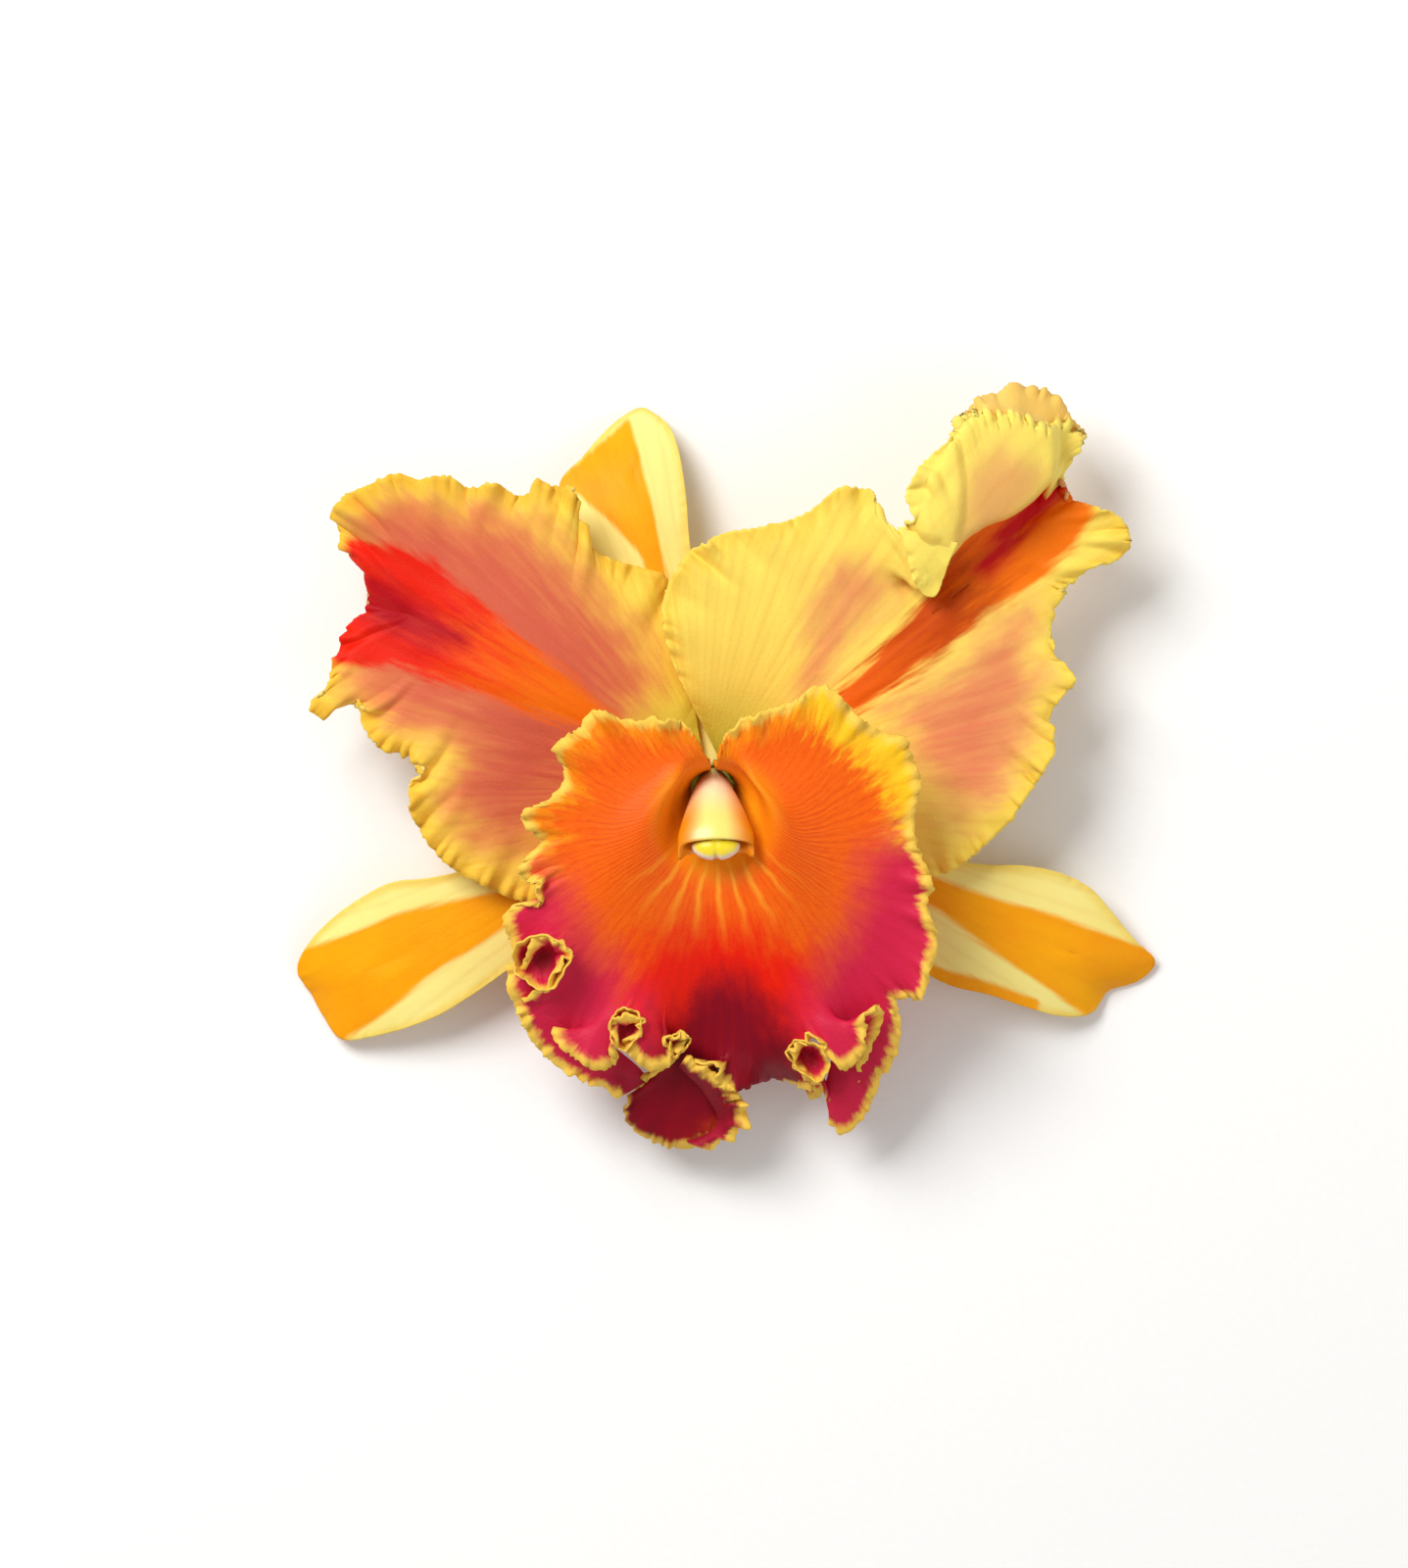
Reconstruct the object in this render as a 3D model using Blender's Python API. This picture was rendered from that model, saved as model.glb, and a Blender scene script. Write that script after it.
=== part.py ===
# A large-flowered cattleya bloom, as picked, lying on its back with its face up.
# +X is the flower's right as it is looked at, +Y its dorsal side, +Z the way it faces.
# Outlines are in millimetres from the flower's centre, the top of the ovary, and each
# point is (x, y, z). Meshes are made in metres.
import math

import bpy
import numpy as np
from mathutils import Vector
from mathutils.bvhtree import BVHTree

MM = 0.001

# Where the flower's centre lies, from the middle of the resting footprint
CENTRE = (-2.4, -2.7, 12.6)
TABLE = -12.6

# Thicknesses of the blades
PETAL_THICKNESS = 0.9
SEPAL_THICKNESS = 1.1
LIP_THICKNESS = 0.75

# How finely each blade is cut along an edge
LEFT_PETAL_SPANS, RIGHT_PETAL_SPANS, SEPAL_SPANS = 38, 46, 13
LIP_SPANS, TUBE_RINGS = 142, 3

# How far an edge's waves reach into the blade, as a share of its whole edge
LEFT_PETAL_REACH, RIGHT_PETAL_REACH = 0.16, 0.09
SEPAL_WAVE_REACH = 0.06
LIP_WAVE_REACH = 0.11
# Toward the root the waves get longer and lower, by these powers
WAVE_FADE, WAVE_POWER = 0.62, 2
# How a blade's height grows from its midrib to its edge, as a power
SEPAL_CUP, PETAL_CUP = 1.6, 1.5
# How the ribs of a blade gather at the end of its midrib
FAN_SHARE, FAN_POWER = 0.85, 0.8
# Where the rings of a petal, a sepal and the lip's open part lie, from root to edge
PETAL_RINGS = (0.14, 0.28, 0.41, 0.53, 0.65, 0.78, 0.9, 1.0)
SEPAL_RINGS = (0.3, 0.6, 0.84, 1.0)
LIMB_RINGS = (0.0, 0.2, 0.39, 0.56, 0.71, 0.83, 0.92, 1.0)

# Left petal: upper edge from claw to tip, lower edge from tip to claw, and midrib
LEFT_PETAL_UPPER = [
    (-1.5, 3.9, 1.1), (-3.0, 13.0, 1.8), (-4.0, 22.0, 2.6), (-5.5, 30.0, 3.6),
    (-8.0, 36.0, 4.6), (-14.5, 38.0, 5.4), (-19.5, 40.0, 5.2), (-22.3, 43.5, 6.4),
    (-22.8, 49.0, 8.6), (-24.8, 51.8, 9.0), (-27.0, 50.8, 6.6), (-29.8, 52.8, 9.0),
    (-31.5, 50.0, 5.8), (-34.0, 50.0, 6.8), (-37.5, 52.2, 9.0), (-40.2, 51.0, 6.4),
    (-43.0, 51.6, 7.0), (-46.0, 53.4, 9.2), (-50.0, 52.5, 6.8), (-54.5, 53.4, 8.6),
    (-59.5, 51.5, 6.4), (-64.0, 49.2, 6.4), (-66.0, 46.3, 4.8), (-64.5, 43.3, 3.4),
    (-61.0, 39.5, 2.2), (-58.8, 36.0, 1.8), (-58.3, 32.0, 1.8),
]
LEFT_PETAL_LOWER = [
    (-58.3, 32.0, 1.8), (-60.8, 29.0, 1.8), (-63.6, 25.8, 2.2), (-65.6, 20.5, 3.6),
    (-66.3, 16.4, 5.6), (-69.3, 13.8, 7.0), (-68.6, 11.6, 6.0), (-65.4, 13.0, 3.6),
    (-62.3, 14.3, 3.2), (-60.8, 12.0, 5.2), (-59.2, 8.2, 6.4), (-56.5, 5.5, 4.4),
    (-52.5, 5.2, 3.2), (-49.7, 4.4, 4.8), (-50.2, 1.5, 6.6), (-52.5, -2.3, 7.4),
    (-52.0, -5.5, 6.2), (-49.5, -9.6, 4.6), (-46.6, -13.4, 5.4), (-43.0, -15.9, 3.8),
    (-39.8, -17.4, 4.2), (-35.5, -19.7, 2.6), (-28.0, -20.5, 2.2), (-20.0, -16.0, 1.8),
    (-12.0, -9.0, 1.4), (-4.0, -0.7, 1.1),
]
LEFT_PETAL_MIDRIB = [
    (-2.8, 1.6, 1.1), (-12.0, 6.3, 3.2), (-24.0, 12.8, 6.2), (-36.0, 19.5, 7.2),
    (-47.0, 26.0, 5.6), (-52.5, 29.4, 3.8),
]

# Right petal: its upper edge stands up in a tall fold over the blade, then turns under
RIGHT_PETAL_UPPER = [
    (1.4, 3.9, 1.1), (-1.8, 10.5, 4.6), (-5.2, 16.8, 7.0), (-7.6, 22.7, 8.6),
    (-8.9, 28.2, 9.6), (-7.9, 33.8, 10.2), (-4.8, 39.2, 10.4), (1.3, 42.9, 10.6),
    (7.5, 44.2, 9.4), (13.2, 45.5, 9.0), (18.5, 48.3, 10.0), (21.5, 51.3, 11.4),
    (25.0, 50.5, 9.6), (28.8, 51.2, 11.4), (28.6, 48.6, 10.8), (26.6, 45.2, 9.4),
    (30.4, 44.4, 10.4), (33.4, 41.8, 12.0), (36.8, 41.4, 14.2), (35.4, 44.4, 15.6),
    (32.8, 48.0, 15.8), (34.0, 52.5, 15.6), (37.0, 56.2, 15.4), (40.0, 58.6, 15.4), (42.0, 62.0, 15.2),
    (43.6, 64.2, 13.4), (46.4, 66.6, 9.6), (50.5, 68.3, 7.0), (56.0, 68.5, 5.6),
    (59.8, 66.8, 5.0), (61.4, 63.6, 5.4), (64.2, 61.4, 5.4), (63.4, 57.8, 5.0),
    (57.9, 51.8, 4.0),
]
RIGHT_PETAL_LOWER = [
    (57.9, 51.8, 4.0), (59.6, 49.9, 4.2), (64.0, 48.4, 4.0), (68.2, 47.0, 4.4),
    (71.4, 44.8, 4.0), (72.2, 41.2, 2.8), (70.4, 38.7, 2.4), (65.6, 37.0, 3.2),
    (61.6, 34.8, 3.2), (58.8, 31.4, 2.6), (57.3, 27.2, 2.8), (60.0, 23.3, 5.4),
    (58.2, 21.6, 3.6), (63.0, 18.4, 6.4), (60.2, 14.6, 5.0), (58.3, 10.9, 4.2),
    (59.2, 6.0, 6.2), (57.0, 1.6, 5.2), (54.2, -2.6, 5.8), (51.4, -6.6, 4.4),
    (46.0, -11.6, 4.8), (40.5, -15.5, 3.0), (33.0, -16.5, 2.4), (26.0, -15.0, 2.0),
    (17.0, -11.0, 1.6), (4.1, -0.4, 1.1),
]
RIGHT_PETAL_MIDRIB = [
    (2.7, 1.8, 1.1), (12.0, 8.6, 3.0), (24.0, 17.6, 5.0), (37.0, 28.4, 5.6),
    (45.0, 35.2, 4.8), (50.4, 40.0, 3.8), (53.4, 44.6, 3.2),
]
# The tall fold in the petal's upper side: where along that edge, as a share of it, and
# there the crest that leans over the blade and the ridge behind it
FOLD = [
    (0.48, (34.0, 34.4, 9.0), (32.4, 39.0, 10.0)),
    (0.54, (36.4, 33.4, 10.0), (35.0, 38.0, 12.6)),
    (0.60, (39.6, 38.0, 12.0), (36.6, 44.0, 15.4)),
    (0.66, (43.2, 42.4, 13.4), (38.0, 51.6, 16.0)),
    (0.72, (46.6, 44.6, 13.6), (42.0, 57.5, 16.0)),
    (0.77, (50.6, 46.2, 13.2), (46.6, 63.6, 15.0)),
    (0.82, (54.4, 48.8, 12.6), (51.0, 63.4, 14.6)),
    (0.87, (58.0, 52.2, 11.8), (57.4, 60.4, 12.8)),
    (0.93, (61.2, 56.0, 9.8), (61.6, 58.4, 10.4)),
    (0.97, (62.0, 57.2, 7.6), (62.4, 57.8, 8.0)),
]
VALLEY_BEHIND, VALLEY_BELOW = 3.0, 6.4
# Where on a rib its foot, valley, crest, ridge and edge lie
FOLD_KNOTS = (0.0, 0.28, 0.53, 0.78, 1.0)
FOLD_STARTS, FOLD_ENDS = 0.40, 0.99
FOLD_EASE_IN, FOLD_EASE_OUT = 0.1, 0.12

# Dorsal sepal
DORSAL_SEPAL_LEFT = [
    (-2.5, 3.2, -0.3), (-8.0, 13.0, -0.9), (-17.0, 28.0, -1.6), (-24.5, 40.0, -2.2),
    (-26.9, 50.5, -4.6), (-22.6, 56.4, -6.4), (-17.2, 62.4, -9.6), (-12.6, 65.2, -12.0),
]
DORSAL_SEPAL_RIGHT = [
    (-12.6, 65.2, -12.0), (-8.6, 63.2, -9.6), (-6.2, 59.2, -6.4), (-4.6, 50.5, -3.4),
    (-3.8, 41.0, -2.0), (-2.0, 28.0, -1.4), (0.8, 15.0, -0.9), (2.5, 3.2, -0.3),
]
DORSAL_SEPAL_MIDRIB = [
    (0.0, 3.2, -0.3), (-3.5, 15.0, -0.9), (-8.0, 31.0, -1.2), (-12.2, 47.0, -2.0),
    (-13.6, 54.0, -3.8),
]

# Lateral sepals
LEFT_SEPAL_UPPER = [
    (-4.0, 0.2, -0.3), (-11.0, -1.0, -0.7), (-23.0, -6.5, -1.2), (-35.0, -11.8, -1.8),
    (-46.0, -15.8, -2.2), (-55.5, -17.0, -3.4), (-64.0, -21.8, -6.2), (-70.0, -27.6, -8.6),
    (-72.0, -32.4, -10.8), (-69.6, -36.4, -12.0),
]
LEFT_SEPAL_LOWER = [
    (-69.6, -36.4, -12.0), (-67.6, -40.0, -12.0), (-64.6, -44.2, -10.2),
    (-58.0, -43.6, -8.0), (-49.0, -40.8, -5.4), (-42.0, -36.8, -3.8), (-34.6, -31.6, -2.6),
    (-23.0, -22.6, -1.6), (-11.0, -12.6, -0.9), (-1.2, -4.0, -0.3),
]
LEFT_SEPAL_MIDRIB = [
    (-2.6, -1.9, -0.3), (-14.0, -8.6, -0.8), (-30.0, -17.6, -1.6), (-46.0, -26.0, -3.0),
    (-58.0, -31.6, -5.8),
]
RIGHT_SEPAL_UPPER = [
    (4.0, 0.2, -0.3), (11.0, -1.0, -0.7), (24.0, -6.8, -1.2), (36.0, -11.8, -1.8),
    (46.0, -13.8, -2.2), (56.5, -14.4, -3.4), (65.2, -17.8, -6.0), (71.8, -25.4, -8.6),
    (76.9, -30.8, -11.4),
]
RIGHT_SEPAL_LOWER = [
    (76.9, -30.8, -11.4), (75.4, -33.6, -12.0), (70.0, -35.0, -12.0), (66.6, -38.0, -11.2),
    (64.2, -40.8, -9.4), (55.0, -38.8, -6.2), (46.4, -36.0, -4.0), (37.8, -33.4, -2.8),
    (25.0, -23.8, -1.6), (12.0, -12.8, -0.9), (1.2, -4.0, -0.3),
]
RIGHT_SEPAL_MIDRIB = [
    (2.6, -1.9, -0.3), (15.0, -8.2, -0.8), (31.0, -16.2, -1.6), (48.0, -24.2, -3.0),
    (62.0, -29.2, -6.2),
]

# Lip: the free edge, from the notch over the column down the left lobe, along the
# frilled front lobe and up the right lobe back to the notch
LIP_LEFT_LOBE = [
    (-1.4, 4.6, 18.0), (-1.6, 7.4, 19.6), (-4.2, 10.0, 21.0), (-8.6, 11.8, 22.4),
    (-13.9, 10.7, 21.0), (-17.4, 12.0, 22.2), (-20.1, 13.8, 22.8), (-22.0, 10.9, 20.2),
    (-24.8, 8.2, 20.4), (-28.2, 7.0, 22.4), (-26.0, 4.2, 19.4), (-25.7, 0.8, 18.4),
    (-29.0, -3.1, 18.8), (-33.4, -5.0, 20.2), (-31.6, -7.9, 17.8), (-29.4, -10.6, 16.0),
    (-33.2, -13.2, 17.0), (-32.9, -16.7, 15.6), (-30.2, -17.0, 18.0), (-28.9, -18.7, 18.6),
    (-31.0, -20.2, 16.2), (-34.6, -20.6, 15.2), (-36.4, -24.4, 14.6), (-34.0, -28.1, 12.4),
    (-34.4, -31.4, 11.0),
]
LIP_LEFT_RING = [
    (-33.0, -33.8, 11.4), (-32.4, -31.0, 14.0), (-31.8, -27.6, 16.6), (-29.8, -26.0, 18.0),
    (-26.4, -26.2, 18.6), (-24.3, -28.6, 18.6), (-25.2, -31.2, 17.8), (-27.4, -33.6, 16.6),
    (-28.9, -35.4, 14.8), (-31.4, -35.4, 12.0), (-33.0, -37.6, 9.8),
]
LIP_LEFT_PLEAT = [
    (-32.6, -41.2, 7.2), (-30.4, -45.0, 5.0), (-27.0, -48.3, 3.0), (-22.6, -50.6, 2.2),
    (-19.4, -50.6, 2.8), (-21.8, -47.4, 5.0), (-26.2, -43.6, 8.0), (-28.9, -40.5, 10.8),
    (-27.8, -43.8, 11.4), (-25.0, -46.2, 10.8), (-22.2, -48.4, 9.6), (-18.6, -49.6, 9.0),
    (-16.4, -47.6, 10.2),
]
LIP_TEARDROP_CURL = [
    (-16.9, -44.4, 11.6), (-17.7, -41.4, 12.8), (-16.6, -39.0, 13.6), (-14.5, -38.0, 14.0),
    (-12.4, -39.6, 13.6), (-12.2, -42.2, 12.8), (-14.2, -44.2, 11.2), (-15.2, -46.0, 9.8),
    (-13.0, -48.0, 9.2), (-10.4, -49.5, 8.2), (-7.0, -48.6, 8.8),
]
LIP_SMALL_CURL = [
    (-7.3, -45.4, 9.8), (-7.0, -43.2, 10.8), (-5.0, -42.3, 11.2), (-3.7, -43.6, 10.6),
    (-5.3, -45.9, 8.8), (-6.6, -48.6, 5.6),
]
LIP_LOWER_FLAP = [
    (-8.4, -50.9, 3.0), (-12.0, -51.2, 0.8), (-15.4, -52.6, -1.0), (-16.3, -55.8, -2.4),
    (-13.8, -59.8, -3.4), (-9.8, -62.4, -4.0), (-4.6, -63.4, -4.0), (0.2, -62.0, -3.0),
    (3.6, -59.0, -2.0), (4.6, -56.6, -0.8), (1.8, -54.0, 1.8), (-0.8, -51.0, 4.2),
    (-3.6, -48.2, 6.6),
]
LIP_FRONT_CENTRE = [
    (-3.2, -46.9, 8.2), (-0.6, -48.2, 8.6), (1.2, -50.0, 7.8), (1.0, -52.6, 6.0),
    (3.2, -53.2, 5.2), (6.0, -52.6, 4.0), (8.6, -51.4, -0.6), (12.0, -51.2, -3.8),
    (15.6, -52.4, -3.0),
]
LIP_RIGHT_RING = [
    (18.8, -54.2, 0.0), (18.6, -52.2, 3.6), (15.8, -50.8, 7.0), (14.4, -48.4, 9.2),
    (12.5, -46.4, 10.4), (13.6, -44.7, 11.4), (16.2, -43.7, 12.0), (18.8, -44.4, 11.8),
    (20.2, -47.2, 10.6), (22.2, -49.5, 9.4),
]
LIP_RIGHT_PLEAT = [
    (25.0, -47.8, 10.8), (26.5, -44.8, 12.2), (26.3, -41.2, 13.4), (27.4, -38.4, 14.0),
    (29.2, -37.6, 13.0), (29.4, -40.6, 10.4), (27.8, -45.4, 7.6), (24.6, -50.6, 4.4),
    (21.2, -54.8, 1.4), (20.2, -57.4, -0.6), (21.8, -60.4, -1.8), (25.2, -58.6, -0.8),
    (27.4, -54.8, 1.2), (28.2, -51.0, 3.0), (31.4, -47.2, 4.6), (31.9, -42.8, 6.4),
    (31.0, -38.8, 8.2),
]
LIP_RIGHT_LOBE = [
    (32.8, -36.5, 10.4), (36.0, -37.8, 13.4), (36.6, -34.8, 14.8), (38.3, -30.0, 15.6),
    (38.4, -24.4, 16.2), (36.7, -19.6, 16.4), (38.4, -17.2, 18.0), (36.6, -13.6, 17.0),
    (35.2, -9.8, 18.2), (34.8, -4.4, 18.2), (36.0, -0.2, 20.0), (34.6, 4.4, 19.2),
    (32.6, 8.6, 20.6), (28.2, 9.4, 20.2), (25.0, 12.0, 22.0), (22.0, 15.0, 22.4),
    (19.4, 17.3, 24.0), (15.8, 15.6, 22.4), (12.0, 13.5, 22.4), (7.7, 12.4, 22.6),
    (3.8, 10.4, 21.4), (1.6, 7.2, 19.8), (1.0, 4.4, 18.0),
]
LIP_EDGE = (
    LIP_LEFT_LOBE + LIP_LEFT_RING + LIP_LEFT_PLEAT + LIP_TEARDROP_CURL + LIP_SMALL_CURL
    + LIP_LOWER_FLAP + LIP_FRONT_CENTRE + LIP_RIGHT_RING + LIP_RIGHT_PLEAT + LIP_RIGHT_LOBE
)
# The lip's tube round the column, as rings: centre, half-width and half-height, and
# how much further the last one, its mouth, stands out at the top
LIP_TUBE = [
    ((0.0, -0.1, 1.9), 4.0, 4.0),
    ((0.4, -3.0, 8.5), 6.4, 6.6),
    ((0.7, -4.4, 15.0), 7.8, 8.4),
]
MOUTH_TILT = 0.12
# The ribs of the lip fan out from here, smoothed by this share of its edge, and each
# turns by this share of the mean turn at least
LIP_AIM, AIM_REACH, LEAST_TURN = (0.5, -9.0), 0.06, 0.35
# The limb swells up by so much as it leaves the mouth, less near the notch
FLARE_RISE_FRONT, FLARE_RISE_SIDES = 2.6, 5.4
FLARE_EASE = 1.2
NOTCH_SPREAD = math.radians(50)
# Makes the greatest value of w (1 - w)^2 equal 1
SWELL_SCALE = 27 / 4

# Column: its curved axis, and along it (share of length, half-width, back, front)
COLUMN_AXIS = [
    (0.0, 0.0, -0.6), (0.1, -0.7, 7.0), (0.3, -3.4, 14.0), (0.5, -7.6, 18.8),
    (0.6, -10.6, 20.4),
]
COLUMN_SECTIONS = [
    (0.0, 2.6, 2.6, 2.6), (0.08, 2.9, 2.9, 2.7), (0.3, 3.5, 3.1, 2.8), (0.55, 4.6, 3.4, 3.0),
    (0.75, 5.7, 3.6, 3.2), (0.9, 6.4, 3.6, 3.3), (1.0, 6.3, 3.5, 3.3),
]
COLUMN_RINGS, COLUMN_SIDES = 13, 18
# The two wing tips beside the column's end: length, direction, breadth, and where along
# the column they start
WING_TIP, WING_BELOW_SIDE, WING_BREADTH, WING_STARTS = 2.0, 0.25, 0.4, 0.8
WING_POWER = 1.5
# The hollow in the column's end that the anther cap sits in
HOLLOW_WALL, HOLLOW_DEPTH = 1.0, 2.2
HOLLOW_LIP, HOLLOW_TAPER, HOLLOW_WING = 0.2, 0.4, 0.6

# Anther cap and the four waxy pollinia under it
CAP_HALF_WIDTH, CAP_HALF_HEIGHT, CAP_LENGTH = 3.1, 2.0, 2.6
CAP_WALL = 0.6
CAP_SEAT = 0.9
CAP_SIDES = 14
CAP_LOBES = 0.06
CAP_LEVELS = (0.0, 0.4, 0.8, 1.15, 1.45)
POLLINIA_HALF_WIDTH, POLLINIA_HALF_HEIGHT, POLLINIA_LENGTH = 1.9, 0.9, 1.1
POLLINIA_SEAT = 1.3
POLLINIA_SIDES, POLLINIA_LOBES = 16, 0.12
POLLINIA_LEVELS = (-1.3, -0.8, 0.0, 0.8, 1.3)

# Ovary and pedicel: axis, radii along it, and its shallow grooves
STEM_AXIS = [
    (0.0, 0.0, -1.3), (0.0, 0.0, -3.0), (0.0, -3.2, -7.4), (0.0, -9.0, -9.8),
    (0.0, -18.0, -10.4), (0.0, -30.0, -10.4), (0.0, -46.0, -10.4),
]
STEM_RADII = [(0.0, 4.4), (0.05, 4.1), (0.15, 3.6), (0.4, 3.1), (0.7, 2.7), (1.0, 2.6)]
STEM_RINGS, STEM_SIDES = 20, 18
GROOVE_DEPTH = 0.05
GROOVES = 6

# Steps of the smooth curves between two given points
CURVE_STEPS = 12
# How strongly samples gather where an outline's points are close
GATHER = 0.4
# Relaxing of a sheet that would cross itself: most rounds, and the thicknesses it is
# tested at, as shares of the real one
EASING_ROUNDS = 120
EASING_MARGINS = (1.0, 1.07, 1.15)


def through(knots, place):
    """The point at a place on a smooth curve through knots, one unit apart."""
    knots = [2 * knots[0] - knots[1], *knots, 2 * knots[-1] - knots[-2]]
    k = min(int(place), len(knots) - 4)
    u = place - k
    a, b, c, d = knots[k:k + 4]
    bend = (2 * a - 5 * b + 4 * c - d) * u ** 2 + (3 * b - a - 3 * c + d) * u ** 3
    return 0.5 * (2 * b + (c - a) * u + bend)


def smooth_line(points, count, gather=0.0):
    """Points on a smooth curve through the given ones, evenly spaced or gathered."""
    knots = [np.array(point, dtype=float) for point in points]
    places = np.arange(CURVE_STEPS * (len(knots) - 1) + 1) / CURVE_STEPS
    dense = np.array([through(knots, place) for place in places])
    steps = np.linalg.norm(np.diff(dense, axis=0), axis=1)
    lengths = steps.reshape(-1, CURVE_STEPS).sum(axis=1)
    steps = steps / np.repeat(lengths, CURVE_STEPS) ** gather
    run = np.concatenate([[0.0], np.cumsum(steps)])
    places = np.linspace(0.0, run[-1], count)
    return np.column_stack([np.interp(places, run, dense[:, k]) for k in range(3)])


def blurred(line, reach):
    """The line with its waves smoothed away over the given share of its length."""
    sigma = reach * (len(line) - 1)
    if sigma < 0.05:
        return line
    before = 2 * line[0] - line[:0:-1]
    after = 2 * line[-1] - line[-2::-1]
    long_line = np.vstack([before, line, after])
    half = min(int(4 * sigma) + 1, len(line) - 1)
    offsets = np.arange(-half, half + 1)
    weights = np.exp(-0.5 * (offsets / sigma) ** 2)
    weights /= weights.sum()
    start = len(line) - 1
    shifted = [long_line[start + o:start + o + len(line)] * w for o, w in zip(offsets, weights)]
    return np.sum(shifted, axis=0)


def ease(x):
    """A smooth step from 0 to 1."""
    x = np.clip(x, 0.0, 1.0)
    return x * x * (3 - 2 * x)


def bump(x, middle, width):
    return np.exp(-(((x - middle) / width) ** 2))


def material(name, colour, roughness):
    made = bpy.data.materials.new(name)
    made.use_nodes = True
    shader = made.node_tree.nodes["Principled BSDF"]
    shader.inputs["Base Color"].default_value = (*colour, 1.0)
    shader.inputs["Roughness"].default_value = roughness
    shader.inputs["Metallic"].default_value = 0.0
    return made


def solid_object(name, vertices, faces, finish):
    """An object at the flower's centre from points in millimetres."""
    mesh = bpy.data.meshes.new(name)
    mesh.from_pydata([Vector(v) * MM for v in vertices], [], faces)
    mesh.validate()
    mesh.materials.append(finish)
    mesh.shade_smooth()
    made = bpy.data.objects.new(name, mesh)
    made.location = Vector(CENTRE) * MM
    bpy.context.scene.collection.objects.link(made)


def split_cell(points, a, b, c, d):
    """The two triangles of a cell, cut across its shorter diagonal."""
    if np.linalg.norm(points[a] - points[c]) <= np.linalg.norm(points[b] - points[d]):
        return [(a, b, c), (a, c, d)]
    return [(a, b, d), (b, c, d)]


def free_edges(faces):
    sides = {(face[k], face[(k + 1) % 3]) for face in faces for k in range(3)}
    return sorted(side for side in sides if side[::-1] not in sides)


def two_faced(points, faces, thickness):
    """The closed surface of a sheet, half its thickness to each side."""
    corners = np.array(faces)
    first, second, third = (points[corners[:, k]] for k in range(3))
    facing = np.cross(second - first, third - first)
    normals = np.zeros_like(points)
    for k in range(3):
        np.add.at(normals, corners[:, k], facing)
    normals /= np.maximum(np.linalg.norm(normals, axis=1), 1e-9)[:, None]
    offset = 0.5 * thickness * normals
    count = len(points)
    shell = [tuple(face) for face in faces]
    shell += [(c + count, b + count, a + count) for a, b, c in faces]
    for a, b in free_edges(faces):
        shell += [(b, a, a + count), (b, a + count, b + count)]
    return np.vstack([points + offset, points - offset]), shell


def ring_neighbours(rows):
    """For each point, those beside it on its ring, and itself too at a ring's end."""
    beside = {}
    for row in rows:
        for before, here, after in zip([row[0], *row], row, [*row[1:], row[-1]]):
            beside.setdefault(here, set()).update((before, after))
    return {here: sorted(others) for here, others in beside.items()}


def eased_apart(points, faces, rows, thickness):
    """The sheet relaxed along its rings wherever its faces would cross once thick."""
    points = np.array(points)
    beside = ring_neighbours(rows)
    for _ in range(EASING_ROUNDS):
        crossing = set()
        for margin in EASING_MARGINS:
            shell_points, shell = two_faced(points, faces, thickness * margin)
            tree = BVHTree.FromPolygons([Vector(p) for p in shell_points], shell)
            for a, b in tree.overlap(tree):
                if a < b and not set(shell[a]) & set(shell[b]):
                    crossing.update(i % len(points) for i in shell[a] + shell[b])
        if not crossing:
            break
        relaxed = points.copy()
        for i in crossing:
            relaxed[i] = 0.5 * points[i] + 0.5 * points[beside[i]].mean(axis=0)
        points = relaxed
    return points


def thickened(name, points, faces, rows, thickness, finish):
    points = eased_apart(points, faces, rows, thickness)
    solid_object(name, *two_faced(points, faces, thickness), finish)


def upward(points, face):
    a, b, c = (points[i] for i in face)
    return (b[0] - a[0]) * (c[1] - a[1]) - (b[1] - a[1]) * (c[0] - a[0])


def blade(name, left, right, midrib, spans, rings, reach, cup, thickness, finish, fold=None):
    """A petal or sepal: rings step from the midrib out to the waved edge."""
    first_half = smooth_line(left, spans + 1, GATHER)
    second_half = smooth_line(right, spans + 1, GATHER)
    edge = np.vstack([first_half, second_half[1:]])
    share = np.concatenate([np.linspace(0, 1, spans + 1), np.linspace(1, 0, spans + 1)[1:]])
    along = FAN_SHARE * np.sin(0.5 * math.pi * share) ** FAN_POWER + (1 - FAN_SHARE) * share
    spine = smooth_line(midrib, 200)
    place = along * (len(spine) - 1)
    feet = np.column_stack([np.interp(place, np.arange(len(spine)), spine[:, k])
                            for k in range(3)])
    columns = 2 * spans + 1
    points = [feet[i] for i in range(spans + 1)]
    rows = [[min(i, 2 * spans - i) for i in range(columns)]]
    plain = blurred(edge, reach)
    for s in rings:
        waves = blurred(edge, reach * (1 - s) ** WAVE_FADE) - plain
        target = plain + waves * s ** WAVE_POWER
        row = feet + (target - feet) * s
        row[:, 2] = feet[:, 2] + (target[:, 2] - feet[:, 2]) * s ** cup
        if fold is not None:
            row = fold(row, feet, target, share, s)
        rows.append(list(range(len(points), len(points) + columns)))
        points.extend(row)
    points = np.array(points)
    faces = []
    for inner, outer in zip(rows, rows[1:]):
        for i in range(columns - 1):
            faces.extend(split_cell(points, inner[i], outer[i], outer[i + 1], inner[i + 1]))
    if sum(upward(points, face) for face in faces) < 0:
        faces = [face[::-1] for face in faces]
    thickened(name, points, faces, rows, thickness, finish)


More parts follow.
